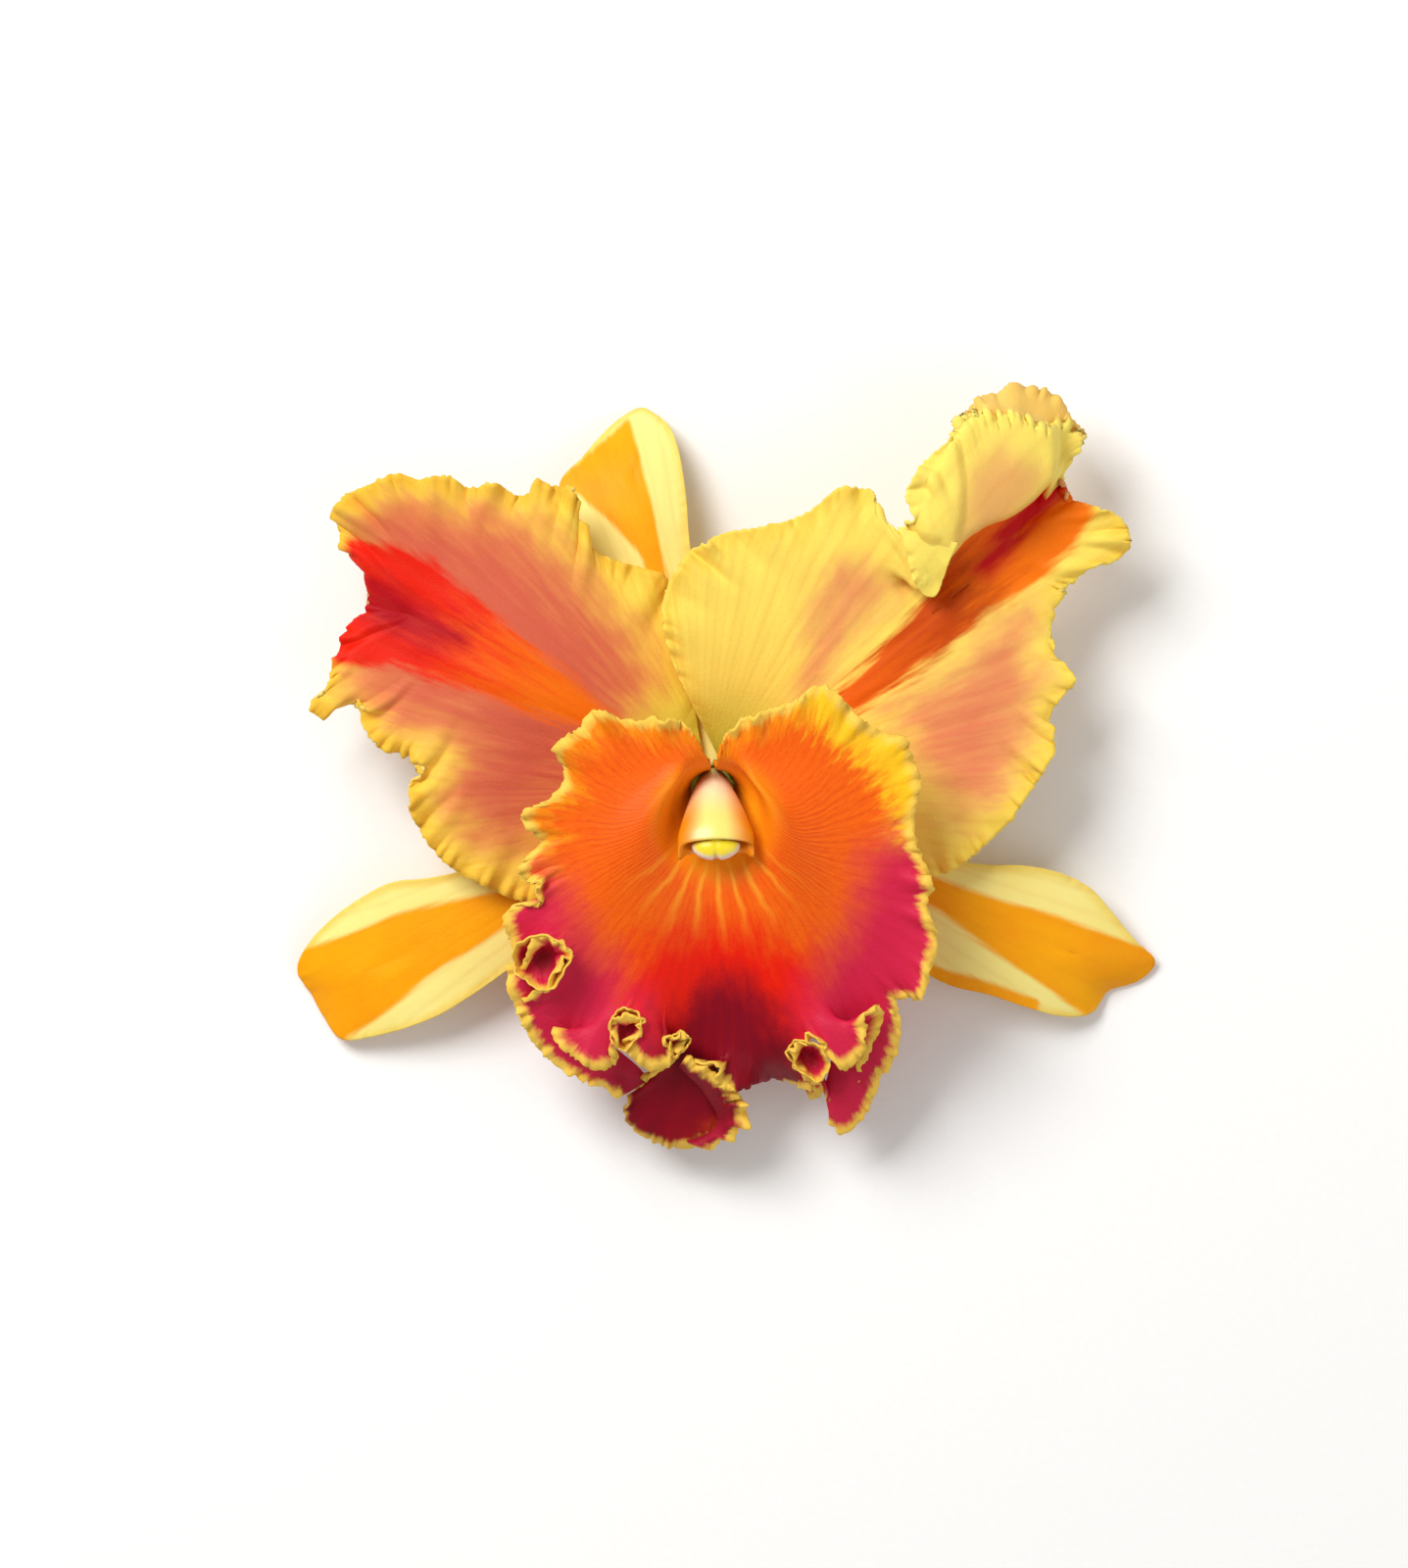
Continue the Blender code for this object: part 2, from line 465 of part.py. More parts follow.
def tall_fold(row, feet, target, share, s):
    """The right petal's upper side stands up in a crest that leans over the midrib."""
    places, crests, ridges = zip(*FOLD)
    crests, ridges = np.array(crests), np.array(ridges)
    place = np.interp(s, FOLD_KNOTS, range(len(FOLD_KNOTS)))
    for i in range((len(share) + 1) // 2):
        strength = ease((share[i] - FOLD_STARTS) / FOLD_EASE_IN)
        strength *= ease((FOLD_ENDS - share[i]) / FOLD_EASE_OUT)
        if strength == 0:
            continue
        crest = np.array([np.interp(share[i], places, crests[:, k]) for k in range(3)])
        ridge = np.array([np.interp(share[i], places, ridges[:, k]) for k in range(3)])
        outward = (target[i] - feet[i]) * np.array([1.0, 1.0, 0.0])
        outward /= np.linalg.norm(outward)
        valley = crest + VALLEY_BEHIND * outward - np.array([0.0, 0.0, VALLEY_BELOW])
        folded = through([feet[i], valley, crest, ridge, target[i]], place)
        row[i] += strength * (folded - row[i])
    return row


def lip_angles(edge):
    """The direction of each rib of the lip, always turning the same way."""
    aim = blurred(edge, AIM_REACH) - np.array([*LIP_AIM, 0.0])
    angles = np.unwrap(np.arctan2(aim[:, 1], aim[:, 0]))
    turns = np.diff(angles)
    turns = np.maximum(turns, LEAST_TURN * turns.mean())
    turns *= (angles[-1] - angles[0]) / turns.sum()
    return angles[0] + np.concatenate([[0.0], np.cumsum(turns)])


def make_lip(finish):
    """The lip: a tube round the column that flares into a frilled limb."""
    edge = smooth_line(LIP_EDGE, LIP_SPANS + 1, GATHER)
    angles = lip_angles(edge)
    tube = []
    for centre, half_width, half_height in LIP_TUBE:
        tube.append(np.column_stack([
            centre[0] + half_width * np.cos(angles),
            centre[1] + half_height * np.sin(angles),
            np.full(len(angles), centre[2]),
        ]))
    mouth = tube[-1]
    mouth[:, 2] += MOUTH_TILT * LIP_TUBE[-1][2] * np.sin(angles)
    rings = []
    for k in range(TUBE_RINGS):
        u = k / TUBE_RINGS
        rings.append((1 - u) ** 2 * tube[0] + 2 * u * (1 - u) * tube[1] + u * u * mouth)
    plain = blurred(edge, LIP_WAVE_REACH)
    from_notch = np.minimum(angles - angles[0], angles[-1] - angles)
    off_notch = ease(from_notch / NOTCH_SPREAD)
    rise = FLARE_RISE_FRONT + (FLARE_RISE_SIDES - FLARE_RISE_FRONT) * np.cos(angles) ** 2
    rise *= off_notch
    for w in LIMB_RINGS:
        waves = blurred(edge, LIP_WAVE_REACH * (1 - w) ** WAVE_FADE) - plain
        target = plain + waves * w ** WAVE_POWER
        target += (edge - target) * (1 - off_notch)[:, None]
        ring = mouth + (target - mouth) * w ** FLARE_EASE
        swell = rise * SWELL_SCALE * w * (1 - w) ** 2
        ring[:, 2] = mouth[:, 2] + (target[:, 2] - mouth[:, 2]) * w + swell
        rings.append(ring)
    points = np.vstack(rings)
    width = LIP_SPANS + 1
    rows = [range(k * width, (k + 1) * width) for k in range(len(rings))]
    faces = []
    for inner, outer in zip(rows, rows[1:]):
        for i in range(LIP_SPANS):
            faces.extend(split_cell(points, inner[i], outer[i], outer[i + 1], inner[i + 1]))
    thickened("lip", points, faces, rows, LIP_THICKNESS, finish)


def loft(name, rings, finish):
    """A closed solid through rings of equal counts, with its two ends filled."""
    sides = len(rings[0])
    points = np.vstack(rings)
    faces = [tuple(range(sides))[::-1]]
    for k in range(len(rings) - 1):
        for i in range(sides):
            j = (i + 1) % sides
            a = k * sides
            faces.append((a + i, a + j, a + sides + j))
            faces.append((a + i, a + sides + j, a + sides + i))
    last = (len(rings) - 1) * sides
    faces.append(tuple(range(last, last + sides)))
    solid_object(name, points, faces, finish)


def axis_frames(axis, count):
    """Points on an axis that lies in an upright plane, with its directions there."""
    line = smooth_line(axis, count)
    ahead = np.gradient(line, axis=0)
    ahead /= np.linalg.norm(ahead, axis=1)[:, None]
    side = np.array([1.0, 0.0, 0.0])
    frames = []
    for point, forward in zip(line, ahead):
        across = side - forward * side.dot(forward)
        across /= np.linalg.norm(across)
        frames.append((point, forward, across, np.cross(forward, across)))
    return frames


def column_section(frame, half_width, back, front, advance, wing):
    """One ring of the column, rounded at the back and flatter at the front."""
    point, forward, across, up = frame
    ring = []
    for i in range(COLUMN_SIDES):
        turn = 2 * math.pi * i / COLUMN_SIDES
        height = (back if math.sin(turn) > 0 else front) * math.sin(turn)
        tips = (math.pi + WING_BELOW_SIDE, 2 * math.pi - WING_BELOW_SIDE)
        tip = wing * sum(bump(turn, middle, WING_BREADTH) for middle in tips)
        spot = point + across * half_width * math.cos(turn) + up * height
        ring.append(spot + forward * (advance + tip))
    return np.array(ring)


def make_column(finish):
    frames = axis_frames(COLUMN_AXIS, COLUMN_RINGS)
    places, *sizes = (np.array(column) for column in zip(*COLUMN_SECTIONS))
    rings = []
    for k, frame in enumerate(frames):
        u = k / (COLUMN_RINGS - 1)
        wing = WING_TIP * max(0.0, (u - WING_STARTS) / (1 - WING_STARTS)) ** WING_POWER
        here = [np.interp(u, places, size) for size in sizes]
        rings.append(column_section(frame, *here, 0.0, wing))
    inner = [size[-1] - HOLLOW_WALL for size in sizes]
    rings.append(column_section(frames[-1], *inner, -HOLLOW_LIP, HOLLOW_WING))
    floor = [size - HOLLOW_TAPER for size in inner]
    rings.append(column_section(frames[-1], *floor, -HOLLOW_DEPTH, 0.0))
    loft("column", rings, finish)


def lobed_ring(frame, half_width, half_height, ahead, shrink, sides, lobes, count):
    """A ring across the frame, with so many lobes."""
    point, forward, across, up = frame
    ring = []
    for i in range(sides):
        turn = 2 * math.pi * i / sides
        size = shrink * (1 + lobes * math.cos(count * turn))
        spot = point + across * half_width * size * math.cos(turn)
        ring.append(spot + up * half_height * size * math.sin(turn) + forward * ahead)
    return np.array(ring)


def make_anther_cap(finish):
    """A hollow helmet in the column's end, its mouth turned to the column."""
    frame = axis_frames(COLUMN_AXIS, COLUMN_RINGS)[-1]
    domes = []
    for wall in (CAP_WALL, 0.0):
        sizes = [CAP_HALF_WIDTH - wall, CAP_HALF_HEIGHT - wall]
        domes.append([lobed_ring(frame, *sizes, (CAP_LENGTH - wall) * math.sin(level) - CAP_SEAT,
                                 math.cos(level), CAP_SIDES, CAP_LOBES, 2)
                      for level in CAP_LEVELS])
    inner, outer = domes
    loft("anther_cap", inner[::-1] + outer, finish)


def make_pollinarium(finish):
    """Four waxy pollinia stuck together, hidden under the anther cap."""
    frame = axis_frames(COLUMN_AXIS, COLUMN_RINGS)[-1]
    rings = []
    for level in POLLINIA_LEVELS:
        ahead = 0.5 * POLLINIA_LENGTH * (1 + math.sin(level)) - POLLINIA_SEAT
        rings.append(lobed_ring(frame, POLLINIA_HALF_WIDTH, POLLINIA_HALF_HEIGHT, ahead,
                                math.cos(level), POLLINIA_SIDES, -POLLINIA_LOBES, 4))
    loft("pollinarium", rings, finish)


def make_stem(finish):
    """The ovary and the pedicel, one grown piece, cut across at its end."""
    frames = axis_frames(STEM_AXIS, STEM_RINGS)
    places, radii = zip(*STEM_RADII)
    rings = []
    for k, (point, _, across, up) in enumerate(frames):
        radius = np.interp(k / (STEM_RINGS - 1), places, radii)
        ring = []
        for i in range(STEM_SIDES):
            turn = 2 * math.pi * (i + 0.5) / STEM_SIDES
            size = radius * (1 + GROOVE_DEPTH * math.cos(GROOVES * turn))
            spot = point + across * size * math.cos(turn) + up * size * math.sin(turn)
            spot[2] = STEM_AXIS[0][2] if k == 0 else max(spot[2], TABLE)
            ring.append(spot)
        rings.append(np.array(ring))
    loft("ovary_and_pedicel", rings, finish)


def clear_scene():
    for old in list(bpy.data.objects):
        bpy.data.objects.remove(old, do_unlink=True)


def build_flower():
    petal = material("petal tissue", (0.86, 0.42, 0.12), 0.5)
    sepal = material("sepal tissue", (0.93, 0.62, 0.14), 0.45)

    make_stem(material("stem tissue", (0.3, 0.5, 0.12), 0.45))
    sepals = (SEPAL_SPANS, SEPAL_RINGS, SEPAL_WAVE_REACH, SEPAL_CUP, SEPAL_THICKNESS, sepal)
    blade("dorsal_sepal", DORSAL_SEPAL_LEFT, DORSAL_SEPAL_RIGHT, DORSAL_SEPAL_MIDRIB, *sepals)
    blade("lateral_sepal_left", LEFT_SEPAL_UPPER, LEFT_SEPAL_LOWER, LEFT_SEPAL_MIDRIB, *sepals)
    blade("lateral_sepal_right", RIGHT_SEPAL_UPPER, RIGHT_SEPAL_LOWER, RIGHT_SEPAL_MIDRIB,
          *sepals)
    blade("petal_left", LEFT_PETAL_UPPER, LEFT_PETAL_LOWER, LEFT_PETAL_MIDRIB, LEFT_PETAL_SPANS,
          PETAL_RINGS, LEFT_PETAL_REACH, PETAL_CUP, PETAL_THICKNESS, petal)
    blade("petal_right", RIGHT_PETAL_UPPER, RIGHT_PETAL_LOWER, RIGHT_PETAL_MIDRIB,
          RIGHT_PETAL_SPANS, PETAL_RINGS, RIGHT_PETAL_REACH, PETAL_CUP, PETAL_THICKNESS, petal,
          fold=tall_fold)
    make_lip(material("lip tissue", (0.78, 0.09, 0.03), 0.45))
    make_column(material("column tissue", (0.92, 0.82, 0.62), 0.35))
    make_anther_cap(material("anther cap tissue", (0.95, 0.86, 0.8), 0.4))
    make_pollinarium(material("pollen wax", (0.9, 0.72, 0.1), 0.35))


clear_scene()
build_flower()
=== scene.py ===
# %% [markdown]
# # A cattleya bloom, as picked
# The flower lies on its back and faces straight up. It has three sepals, two frilled petals, a
# lip rolled round the column, the column with its anther cap, and a short cut pedicel. Petals
# and lip are sheets of soft tissue less than a millimetre thick, so nearly every piece here is
# a grid that formulas shape, and that a Solidify modifier then gives its thickness.

import math

import bpy
import numpy as np
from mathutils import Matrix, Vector
from mathutils.bvhtree import BVHTree


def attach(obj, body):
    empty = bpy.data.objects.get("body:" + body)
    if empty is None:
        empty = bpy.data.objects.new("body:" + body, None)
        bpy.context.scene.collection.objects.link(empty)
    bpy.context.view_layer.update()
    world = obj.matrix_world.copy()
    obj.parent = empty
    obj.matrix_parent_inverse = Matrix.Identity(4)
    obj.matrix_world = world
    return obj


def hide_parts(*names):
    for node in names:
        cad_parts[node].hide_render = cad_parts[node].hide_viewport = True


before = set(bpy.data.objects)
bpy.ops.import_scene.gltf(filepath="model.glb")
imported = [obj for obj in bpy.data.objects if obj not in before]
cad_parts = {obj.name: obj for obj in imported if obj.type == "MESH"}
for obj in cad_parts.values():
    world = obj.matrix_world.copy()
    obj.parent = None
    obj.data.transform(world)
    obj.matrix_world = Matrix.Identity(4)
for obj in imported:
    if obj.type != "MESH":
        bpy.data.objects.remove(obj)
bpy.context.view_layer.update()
MM = 0.001
# The flower's centre, the top of its ovary, from the middle of the resting footprint, in mm
CENTRE = np.array((-2.4, -2.7, 12.6))
TABLE = -12.6
print("solids:", sorted(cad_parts))

# %% [markdown]
# ## Camera, floor and light
# The flower is looked at face on, so the camera hangs straight above it, far enough away that
# near parts don't swell. One large soft lamp from the upper left models the petals, a weaker
# one fills their shadows, and a pale surface keeps the colours clean.

# %% Camera, floor and light
SIGHT = (-3.83, -2.7, 1622.6)
LENS, SENSOR, NEAREST_M = 214.3, 36.0, 0.01
LAMPS = {  # where each lamp hangs and its size, in metres, and its power in watts
    "key": ((-0.5, 0.55, 0.85), 0.55, 11.5),
    "fill": ((0.7, -0.35, 0.8), 0.9, 2.4),
}
FLOOR_SIZE, FLOOR_DROP = 6.0, 0.0002
SKY_COLOUR, SKY_STRENGTH = (1.0, 0.99, 0.98, 1.0), 0.4

bpy.ops.object.select_all(action="DESELECT")
bpy.ops.object.camera_add(location=[side * MM for side in SIGHT])
camera = bpy.context.object
camera.data.lens, camera.data.sensor_width = LENS, SENSOR
camera.data.clip_start = NEAREST_M
bpy.context.scene.camera = camera
for name, (place, size, watts) in LAMPS.items():
    bpy.ops.object.light_add(type="AREA", location=place)
    lamp = bpy.context.object
    lamp.name = name
    lamp.data.size, lamp.data.energy = size, watts
    lamp.rotation_euler = (-Vector(place)).to_track_quat("-Z", "Y").to_euler()

bpy.ops.mesh.primitive_plane_add(size=FLOOR_SIZE, location=(0, 0, -FLOOR_DROP))
floor = bpy.context.object
floor.name = "pale_floor"
sky = bpy.data.worlds.new("soft room light")
bpy.context.scene.world = sky
sky.use_nodes = True
sky.node_tree.nodes["Background"].inputs["Color"].default_value = SKY_COLOUR
sky.node_tree.nodes["Background"].inputs["Strength"].default_value = SKY_STRENGTH
bpy.context.scene.view_settings.view_transform = "Standard"
print("camera", [round(v, 4) for v in camera.location], "lens", LENS)

# %% [markdown]
# ## Smooth lines
# A petal's edge is drawn as points in millimetres from the flower's centre, (x, y, z), with
# +Z toward the viewer, and a smooth curve goes through them.

# %% Smooth lines
CURVE_STEPS, GATHER = 12, 0.4


def cubic(a, b, c, d, u):
    """The smooth curve from b to c at share u. Its outer neighbours are a and d."""
    bend = (2 * a - 5 * b + 4 * c - d) * u ** 2 + (3 * b - a - 3 * c + d) * u ** 3
    return 0.5 * (2 * b + (c - a) * u + bend)


def through(knots, place):
    """The point at a place on a smooth curve through knots, one unit apart."""
    knots = [2 * knots[0] - knots[1], *knots, 2 * knots[-1] - knots[-2]]
    k = min(int(place), len(knots) - 4)
    return cubic(*knots[k:k + 4], place - k)


def sampled(places, known, line):
    """Points at some places of a line, whose own points are at the known places."""
    return np.column_stack([np.interp(places, known, line[:, k]) for k in range(3)])


def smooth_line(points, count, gather=0.0):
    """Points on a smooth curve through the given ones, evenly spaced or gathered at bends."""
    knots = [np.array(point, dtype=float) for point in points]
    places = np.arange(CURVE_STEPS * (len(knots) - 1) + 1) / CURVE_STEPS
    dense = np.array([through(knots, place) for place in places])
    steps = np.linalg.norm(np.diff(dense, axis=0), axis=1)
    lengths = steps.reshape(-1, CURVE_STEPS).sum(axis=1)
    steps = steps / np.repeat(lengths, CURVE_STEPS) ** gather
    run = np.concatenate([[0.0], np.cumsum(steps)])
    return sampled(np.linspace(0.0, run[-1], count), run, dense)


def closed_line(points, count):
    """A smooth loop through the points, whose last point is its first again."""
    points = np.array(points, dtype=float)
    place = np.linspace(0, len(points), count) % len(points)
    k = place.astype(int)
    return cubic(*(points[(k + step) % len(points)] for step in (-1, 0, 1, 2)),
                 (place - k)[:, None])


# %% [markdown]
# Blurring a waved edge gives the calm line that its waves swing about. What comes and goes is
# eased in and out, so nothing kinks.

# %% Calm lines and soft steps
LEAST_BLUR = 0.05


def blurred(line, reach):
    """The line with its waves smoothed away over the given share of its length."""
    sigma = reach * (len(line) - 1)
    if sigma < LEAST_BLUR:
        return line
    long_line = np.vstack([2 * line[0] - line[:0:-1], line, 2 * line[-1] - line[-2::-1]])
    half = min(int(4 * sigma) + 1, len(line) - 1)
    offsets = np.arange(-half, half + 1)
    weights = np.exp(-0.5 * (offsets / sigma) ** 2)
    weights /= weights.sum()
    start = len(line) - 1
    shifted = [long_line[start + o:start + o + len(line)] * w for o, w in zip(offsets, weights)]
    return np.sum(shifted, axis=0)


def ease(x):
    """A smooth step from 0 to 1."""
    x = np.clip(x, 0.0, 1.0)
    return x * x * (3 - 2 * x)


def unit(vectors):
    return vectors / np.maximum(np.linalg.norm(vectors, axis=-1), 1e-9)[..., None]


# %% [markdown]
# ## A sheet that keeps clear of itself
# Tight curls of a frilled edge can cut through each other. The coarse sheet is tested as a
# solid of its real thickness, and wherever two of its faces would cross, its points are
# relaxed a little along their ring, until none do.

# %% A sheet that keeps clear of itself
EASING_ROUNDS, EASING_MARGINS = 120, (1.0, 1.07, 1.15)


def sheet_faces(points, rows):
    """Two triangles for each cell of the sheet, split along its shorter diagonal."""
    faces = []
    for inner, outer in zip(rows, rows[1:]):
        for a, b, c, d in zip(inner, outer, outer[1:], inner[1:]):
            if np.linalg.norm(points[a] - points[c]) <= np.linalg.norm(points[b] - points[d]):
                faces += [(a, b, c), (a, c, d)]
            else:
                faces += [(a, b, d), (b, c, d)]
    return faces


def two_faced(points, faces, thickness):
    """The closed surface of a sheet, half its thickness to each side."""
    corners = np.array(faces)
    first, second, third = (points[corners[:, k]] for k in range(3))
    facing = np.cross(second - first, third - first)
    normals = np.zeros_like(points)
    for k in range(3):
        np.add.at(normals, corners[:, k], facing)
    offset = 0.5 * thickness * unit(normals)
    count = len(points)
    shell = list(faces) + [(c + count, b + count, a + count) for a, b, c in faces]
    sides = {(face[k], face[(k + 1) % 3]) for face in faces for k in range(3)}
    for a, b in sorted(side for side in sides if side[::-1] not in sides):
        shell += [(b, a, a + count), (b, a + count, b + count)]
    return np.vstack([points + offset, points - offset]), shell


def eased_apart(points, rows, thickness):
    """The sheet relaxed along its rings wherever its faces would cross once thick."""
    faces = sheet_faces(points, rows)
    a, b, c = (points[[face[k] for face in faces]] for k in range(3))
    if np.sum(np.cross(b - a, c - a)[:, 2]) < 0:
        faces = [face[::-1] for face in faces]
    lobe_outline_shade = {}
    for row in rows:
        for before, here, after in zip([row[0], *row], row, [*row[1:], row[-1]]):
            lobe_outline_shade.setdefault(here, set()).update((before, after))
    for _ in range(EASING_ROUNDS):
        crossing = set()
        for margin in EASING_MARGINS:
            shell_points, shell = two_faced(points, faces, thickness * margin)
            tree = BVHTree.FromPolygons([Vector(p) for p in shell_points], shell)
            for a, b in tree.overlap(tree):
                if a < b and not set(shell[a]) & set(shell[b]):
                    crossing.update(i % len(points) for i in shell[a] + shell[b])
        if not crossing:
            break
        relaxed = points.copy()
        for i in crossing:
            relaxed[i] = 0.5 * points[i] + 0.5 * points[sorted(lobe_outline_shade[i])].mean(axis=0)
        points = relaxed
    return points


# %% [markdown]
# ## From a coarse sheet to living tissue
# The coarse sheet is made fine by smooth curves along and across it. Then it gets what grows
# in tissue: shallow corrugation between the veins, and a fine frill that swells toward the
# edge, one ripple every three or four millimetres, never two alike.

# %% Fine sheets
FRILL_LENGTH, NICK_LENGTH, CALM_ENDS = 3.6, 1.7, 8.0


def between(net, places):
    """Rows of a net at fractional places. The net has a spare row at each end."""
    k = np.clip(places.astype(int), 0, len(net) - 4)
    return cubic(*(net[k + j] for j in range(4)), (places - k)[:, None, None])


def fine_net(net, before, ring_count, column_count):
    """The net made fine. before is the spare row ahead of its first ring."""
    padded = np.concatenate([before[None], net, (2 * net[-1] - net[-2])[None]])
    turned = between(padded, np.linspace(0.0, len(net) - 1, ring_count)).transpose(1, 0, 2)
    turned = np.concatenate([2 * turned[:1] - turned[1:2], turned,
                             2 * turned[-1:] - turned[-2:-1]])
    return between(turned, np.linspace(0.0, net.shape[1] - 1, column_count)).transpose(1, 0, 2)


def facing_of(fine):
    """The direction that each point of a sheet faces."""
    facing = unit(np.cross(np.gradient(fine, axis=1), np.gradient(fine, axis=0)))
    return facing if facing[..., 2].mean() > 0 else -facing


def edge_run(fine):
    steps = np.linalg.norm(np.diff(fine[-1], axis=0), axis=1)
    return np.concatenate([[0.0], np.cumsum(steps)])


def rim_distance(fine):
    """How far each point is from the free edge, along its own rib, in mm."""
    steps = np.linalg.norm(np.diff(fine, axis=0), axis=2)
    ahead = np.cumsum(steps[::-1], axis=0)[::-1]
    return np.concatenate([ahead, np.zeros((1, fine.shape[1]))])


# %% [markdown]
# Waves whose factors share no common measure never repeat, so a frill looks grown.

# %% Frills and swellings
def wander(run, length, seed):
    """An uneven wave of about the given wavelength along a run in mm, from -1 to 1."""
    turn = 2 * math.pi * run / length
    drift = 1.6 * np.sin(0.23 * turn + seed) + 1.1 * np.sin(0.41 * turn + 2.3 * seed)
    wave = np.sin(turn + drift) + 0.45 * np.sin(1.73 * turn + 1.7 * drift + seed)
    return wave * (0.62 + 0.3 * np.sin(0.17 * turn + 3.1 * seed)) / 1.2


def frilled(fine, *frills):
    """The sheet with frills: height, reach, nick, seed, stretch of calm at its ends, length."""
    for height, reach, nick, seed, calm_ends, length in frills:
        rim, run = rim_distance(fine), edge_run(fine)
        calm = ease(np.minimum(run, run[-1] - run) / calm_ends)
        swing = height * calm * wander(run, length, seed)
        out = facing_of(fine) * (ease(1 - rim / reach) ** 1.5 * swing)[..., None]
        nicks = nick * calm + 1e-6
        notch = nicks * (0.5 + 0.5 * wander(run, NICK_LENGTH, seed + 1.0))
        near = ease(1 - rim / (4 * nicks))
        fine = fine + out + unit(fine[-2] - fine[-1]) * (notch * near)[..., None]
    return fine


def crinkled(fine, uv, height):
    """The sheet with the shallow, uneven swellings that tissue has between its veins."""
    turn, out = uv[..., 0] * 2 * math.pi, uv[..., 1]
    swell = 0.5 * np.sin(7.3 * turn + 1.9 * np.sin(1.1 * out) + 0.6)
    swell += 0.35 * np.sin(13.1 * turn - 2.2 * np.sin(0.8 * out + 1.0))
    swell += 0.4 * np.sin(4.1 * turn + 2.6 * out) * np.sin(3.3 * out - 2.0 * turn)
    swell *= ease((out - 0.8) / 2.4)
    return fine + facing_of(fine) * (height * swell)[..., None]


# %% [markdown]
# ## From numbers to a Blender mesh
# Each sheet starts as Blender's own grid. Its points move to the computed places, its UV map
# and its named values for the material are filled in, seams are merged shut, and Solidify
# gives it its thickness, thinner toward the edge as in a real petal.

# %% Sheets as meshes
MERGE_MM, EDGE_SHARE, THIN_RIM, WEIGHT_STEPS = 0.004, 0.5, 5.0, 10


def grid_piece(name, points, uv, values):
    """A grid primitive whose points take the given places, in mm from the flower's centre."""
    rows, columns = points.shape[:2]
    bpy.ops.object.select_all(action="DESELECT")
    bpy.ops.mesh.primitive_grid_add(x_subdivisions=columns - 1, y_subdivisions=rows - 1)
    made = bpy.context.object
    made.name = made.data.name = name
    mesh = made.data
    mesh.vertices.foreach_set("co", ((points + CENTRE) * MM).ravel().astype(np.float32))
    corner = np.zeros(len(mesh.loops), dtype=np.int32)
    mesh.loops.foreach_get("vertex_index", corner)
    flat = uv.reshape(-1, 2)[corner]
    mesh.uv_layers.active.data.foreach_set("uv", flat.ravel().astype(np.float32))
    for key, value in values.items():
        field = mesh.attributes.new(key, "FLOAT", "POINT")
        field.data.foreach_set("value", value.ravel().astype(np.float32))
    return made


def edited(*steps):
    """Puts the active object's whole mesh through edit-mode operators with their settings."""
    bpy.ops.object.mode_set(mode="EDIT")
    bpy.ops.mesh.select_all(action="SELECT")
    for operator, settings in steps:
        operator(**settings)
    bpy.ops.object.mode_set(mode="OBJECT")
    bpy.ops.object.shade_smooth()


MERGE = (bpy.ops.mesh.remove_doubles, {"threshold": MERGE_MM * MM})


def tissue_sheet(name, points, uv, values, thickness):
    """A sheet of tissue, thinner at its edge. Its value back is 1 on the side turned away."""
    made = grid_piece(name, points, uv, values)
    group = made.vertex_groups.new(name="thickness")
    level = np.round(ease(values["rim"].ravel() / THIN_RIM) * WEIGHT_STEPS)
    for step in range(WEIGHT_STEPS + 1):
        chosen = [int(i) for i in np.flatnonzero(level == step)]
        group.add(chosen, step / WEIGHT_STEPS, "REPLACE")
    edited(MERGE)
    if sum(face.normal.z * face.area for face in made.data.polygons) < 0:
        edited((bpy.ops.mesh.flip_normals, {}))
    count = len(made.data.vertices)
    wall = made.modifiers.new("tissue", "SOLIDIFY")
    wall.thickness, wall.offset = thickness * MM, 0.0
    wall.vertex_group, wall.thickness_vertex_group = "thickness", EDGE_SHARE
    bpy.ops.object.modifier_apply(modifier="tissue")
    back = np.zeros(len(made.data.vertices), dtype=np.float32)
    back[count:] = 1.0
    made.data.attributes.new("back", "FLOAT", "POINT").data.foreach_set("value", back)
    print(name, len(made.data.polygons), "faces")
    return made


# %% [markdown]
# ## Petal and sepal blades
# A blade grows from a claw at the flower's centre. Rings of points step from its midrib out to
# its waved edge, and the ribs between them fan out like the veins.

# %% The blade
SPINE_COUNT, RIB_LEAD, RIB_REST, RIB_POWER = 200, 0.85, 0.15, 0.8
WAVE_FADE, TIP_SHARE = 0.62, 0.12


